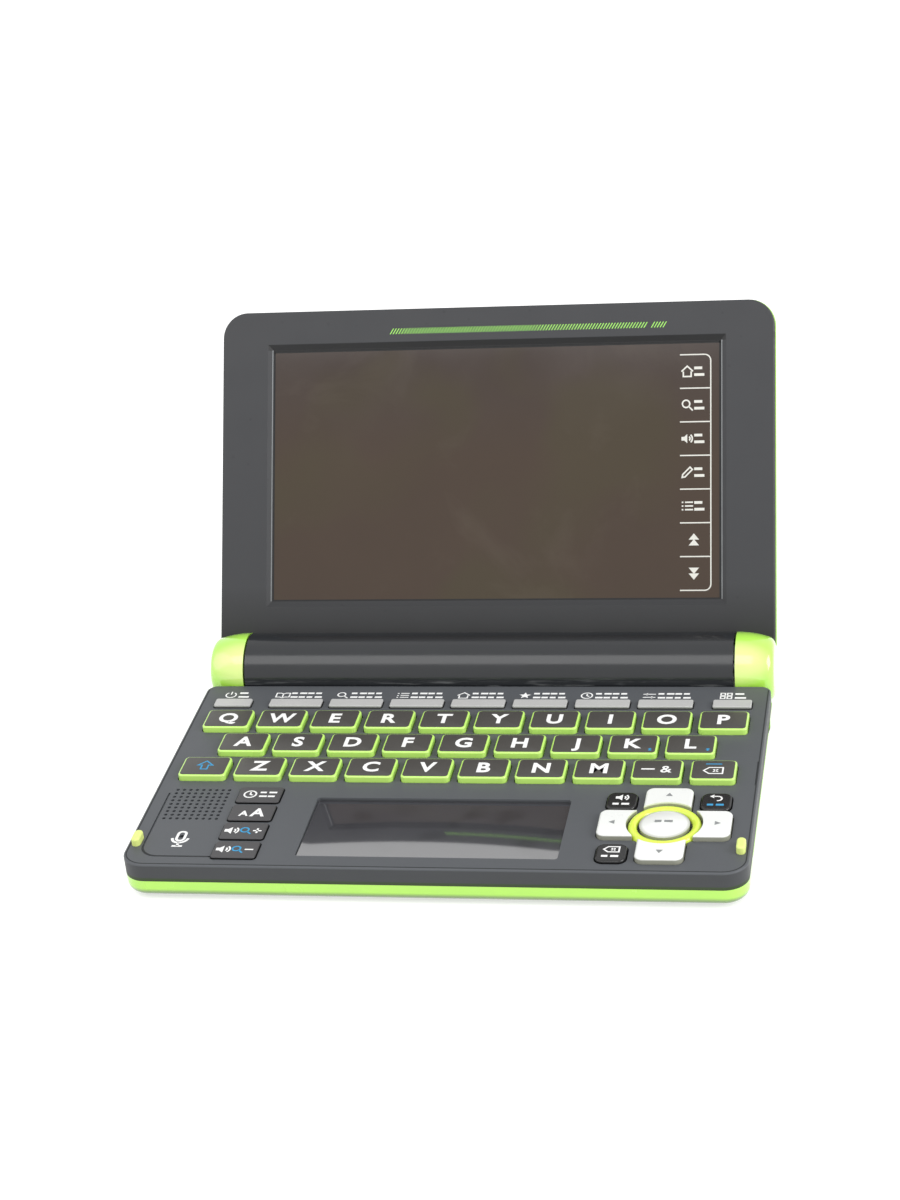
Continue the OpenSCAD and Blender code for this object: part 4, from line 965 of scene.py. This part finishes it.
class DICTIONARY_OT_window_lines(bpy.types.Operator):
    """Lays the gasket round the display glass, a band of painted shade under its top bevel and painted highlights
    on the inner edges of its side bevels
    """

    bl_idname = "dictionary.window_lines"
    bl_label = "Window lines"

    def execute(self, context):
        half, foot, top = 59.8 * MM, 18.0 * MM, 85.3 * MM
        edge, edge_depth = half + 0.3 * MM, 2.86 * MM
        shape = bmesh.new()
        ribbon(shape, [(-half, foot), (half, foot), (half, top), (-half, top)], 0.8 * MM, closed=True)
        # painted shade: a second dark band under the top bevel, where its shadow falls
        ribbon(shape, [(-half, top - 0.5 * MM), (half, top - 0.5 * MM)], 0.5 * MM)
        depth = GLASS_FACE - context.scene.dictionary_sizes.lift
        parts = [(mesh_of(shape, "gasket"), on_lid(0, 0, depth), window_gasket())]
        # painted highlights: pale lines along the inner edges of the side bevels
        for x in (-edge, edge):
            shape = bmesh.new()
            ribbon(shape, [(x, foot), (x, top)], 0.22 * MM)
            parts.append((mesh_of(shape, "edge"), on_lid(0, 0, edge_depth), rubbed_edge()))
        fit("window_lines", join("window_lines", parts), "lid")
        return {"FINISHED"}


class DICTIONARY_OT_lid_stripe(bpy.types.Operator):
    """Prints the hatched green stripe over the display"""

    bl_idname = "dictionary.lid_stripe"
    bl_label = "Lid stripe"

    def execute(self, context):
        sizes = context.scene.dictionary_sizes
        step, tall, slant, up = sizes.hatch_step, 1.5 * MM, 0.9 * MM, 88.8 * MM
        thick, depth = step * 0.34, FRAME_FACE - sizes.lift
        parts = []
        for left, right in ((-27.9 * MM, 40.95 * MM), (41.7 * MM, 45.9 * MM)):
            shape = bmesh.new()
            bar = [(0, 0), (thick, 0), (thick + slant, tall), (slant, tall)]
            shape.faces.new([shape.verts.new((x, y, 0)) for x, y in bar])
            count = int((right - left) / step)
            row = grown(mesh_of(shape, "bar"), row_tree(), Count=count, Step=(step, 0.0, 0.0),
                        Finish=lime_ink())
            parts.append((row, on_lid(left, up, depth), lime_ink()))
        fit("lid_stripe", join("lid_stripe", parts), "lid")
        return {"FINISHED"}


class DICTIONARY_OT_panel_sheet(bpy.types.Operator):
    """Lays the glossy clear sheet on the writing panel, a hair higher in front and at its corners"""

    bl_idname = "dictionary.panel_sheet"
    bl_label = "Panel sheet"

    def execute(self, context):
        wide, deep, low = 61.7 * MM, 25.6 * MM, -0.86 * MM
        tilt, curl = 0.009, 0.026  # rise over the depth along the middle, and more of it to the sides
        shape = bmesh.new()
        bmesh.ops.create_grid(shape, x_segments=32, y_segments=12, size=0.5)
        for vert in shape.verts:
            across, back = vert.co.x, 0.5 - vert.co.y
            vert.co = (across * wide, vert.co.y * deep, back * deep * (tilt + curl * across ** 2))
        made = mesh_of(shape, "panel_sheet")
        made.shade_smooth()
        parts = [(made, on_deck(-1.0 * MM, 17.75 * MM, low), panel_glass())]
        fit("panel_sheet", join("panel_sheet", parts), "base")
        return {"FINISHED"}


# ---- studio ----


def lamp(name, place, aim, wide, deep, power):
    """A soft lamp of one width and depth that shines from one place to another."""
    data = bpy.data.lights.new(name, "AREA")
    data.shape = "RECTANGLE"
    data.size, data.size_y, data.energy = wide, deep, power
    made = bpy.data.objects.new(name, data)
    made.location = place
    made.rotation_euler = (Vector(aim) - Vector(place)).to_track_quat("-Z", "Y").to_euler()
    bpy.context.scene.collection.objects.link(made)


def seen_directly(tree):
    """1 for what the camera, a reflection or clear glass shows, and 0 for the light that falls on things."""
    path = add(tree, "ShaderNodeLightPath").outputs
    either = maths(tree, "MAXIMUM", path["Is Camera Ray"], path["Is Glossy Ray"])
    return maths(tree, "MAXIMUM", either, path["Is Transmission Ray"])


class DICTIONARY_OT_studio(bpy.types.Operator):
    """Sets up the pale floor, the soft lamps, the white surroundings and the camera"""

    bl_idname = "dictionary.studio"
    bl_label = "Studio"

    def execute(self, context):
        shape = bmesh.new()
        bmesh.ops.create_grid(shape, x_segments=1, y_segments=1, size=4.0)
        floor = bpy.data.objects.new("floor", mesh_of(shape, "floor"))
        context.scene.collection.objects.link(floor)
        pale = bpy.data.materials.new("pale_floor")
        pale.use_nodes = True
        tree = pale.node_tree
        shader = tree.nodes["Principled BSDF"]
        shader.inputs["Base Color"].default_value = toned(linear("#d0d0d0"), 1)
        shader.inputs["Roughness"].default_value = 0.6
        shader.inputs["Specular IOR Level"].default_value = 0.2
        shader.inputs["Emission Color"].default_value = (1, 1, 1, 1)
        lift_to_white = 0.62
        lift = maths(tree, "MULTIPLY", seen_directly(tree), lift_to_white)
        tree.links.new(lift, shader.inputs["Emission Strength"])
        floor.data.materials.append(pale)

        world = bpy.data.worlds.new("white_surroundings")
        context.scene.world = world
        world.use_nodes = True
        tree = world.node_tree
        tree.nodes.clear()
        falling = add(tree, "ShaderNodeBackground", {"Color": (1, 1, 1, 1), "Strength": 0.7})
        shown = add(tree, "ShaderNodeBackground", {"Color": (1, 1, 1, 1), "Strength": 1.0})
        both = add(tree, "ShaderNodeMixShader",
                   {0: seen_directly(tree), 1: falling.outputs[0], 2: shown.outputs[0]})
        add(tree, "ShaderNodeOutputWorld", {"Surface": both.outputs[0]})

        lamp("front_lamp", (-0.15, -0.6, 0.95), (-0.15, 0.0, 0.0), 1.0, 0.56, 3.4)
        lamp("right_lamp", (0.9, -0.25, 0.5), (0, 0, 0.02), 0.6, 0.6, 5.6)
        lamp("left_lamp", (-0.8, -0.3, 0.6), (0, 0, 0.02), 0.7, 0.7, 1.6)

        data = bpy.data.cameras.new("camera")
        data.sensor_width = 36.0
        focal_pixels, tall_pixels = 2607, 1200  # of the solved camera, in the photo's own pixels
        data.lens = data.sensor_width * focal_pixels / tall_pixels
        data.clip_start, data.clip_end = 0.01, 20.0
        camera = bpy.data.objects.new("camera", data)
        pitch, yaw, roll = radians(26.672), radians(-12.555), radians(6.016)
        turned = (Matrix.Rotation(roll, 4, "Z") @ Matrix.Rotation(pitch, 4, "X") @ Matrix.Rotation(yaw, 4, "Y")
                  @ Matrix.Rotation(-pi / 2, 4, "X"))
        camera.matrix_world = Matrix.Translation((0.12187, -0.56605, 0.33225)) @ turned.transposed()
        context.scene.collection.objects.link(camera)
        context.scene.camera = camera
        context.scene.view_settings.view_transform = "Standard"
        return {"FINISHED"}


STEPS = (
    DICTIONARY_OT_case_finishes,
    DICTIONARY_OT_key_tops,
    DICTIONARY_OT_strip_marks,
    DICTIONARY_OT_deck_seam,
    DICTIONARY_OT_small_key_marks,
    DICTIONARY_OT_arrow_marks,
    DICTIONARY_OT_microphone_mark,
    DICTIONARY_OT_display_print,
    DICTIONARY_OT_window_lines,
    DICTIONARY_OT_lid_stripe,
    DICTIONARY_OT_panel_sheet,
    DICTIONARY_OT_studio,
)


class DICTIONARY_PT_looks(bpy.types.Panel):
    """Lists the steps that dress the dictionary, and its settings"""

    bl_idname = "DICTIONARY_PT_looks"
    bl_label = "Pocket dictionary"
    bl_space_type = "VIEW_3D"
    bl_region_type = "UI"
    bl_category = "Dictionary"

    def draw(self, context):
        for step in STEPS:
            self.layout.operator(step.bl_idname)
        for settings in (context.scene.dictionary_colours, context.scene.dictionary_sizes):
            for name in settings.__annotations__:
                self.layout.prop(settings, name)


CLASSES = (DictionaryColours, DictionarySizes, *STEPS, DICTIONARY_PT_looks)


def register():
    for made in CLASSES:
        bpy.utils.register_class(made)
    bpy.types.Scene.dictionary_colours = PointerProperty(type=DictionaryColours)
    bpy.types.Scene.dictionary_sizes = PointerProperty(type=DictionarySizes)


def unregister():
    del bpy.types.Scene.dictionary_sizes
    del bpy.types.Scene.dictionary_colours
    for made in reversed(CLASSES):
        bpy.utils.unregister_class(made)


def main():
    """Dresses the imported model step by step."""
    register()
    for step in STEPS:
        group, name = step.bl_idname.split(".")
        getattr(getattr(bpy.ops, group), name)()


if __name__ == "__main__":
    main()
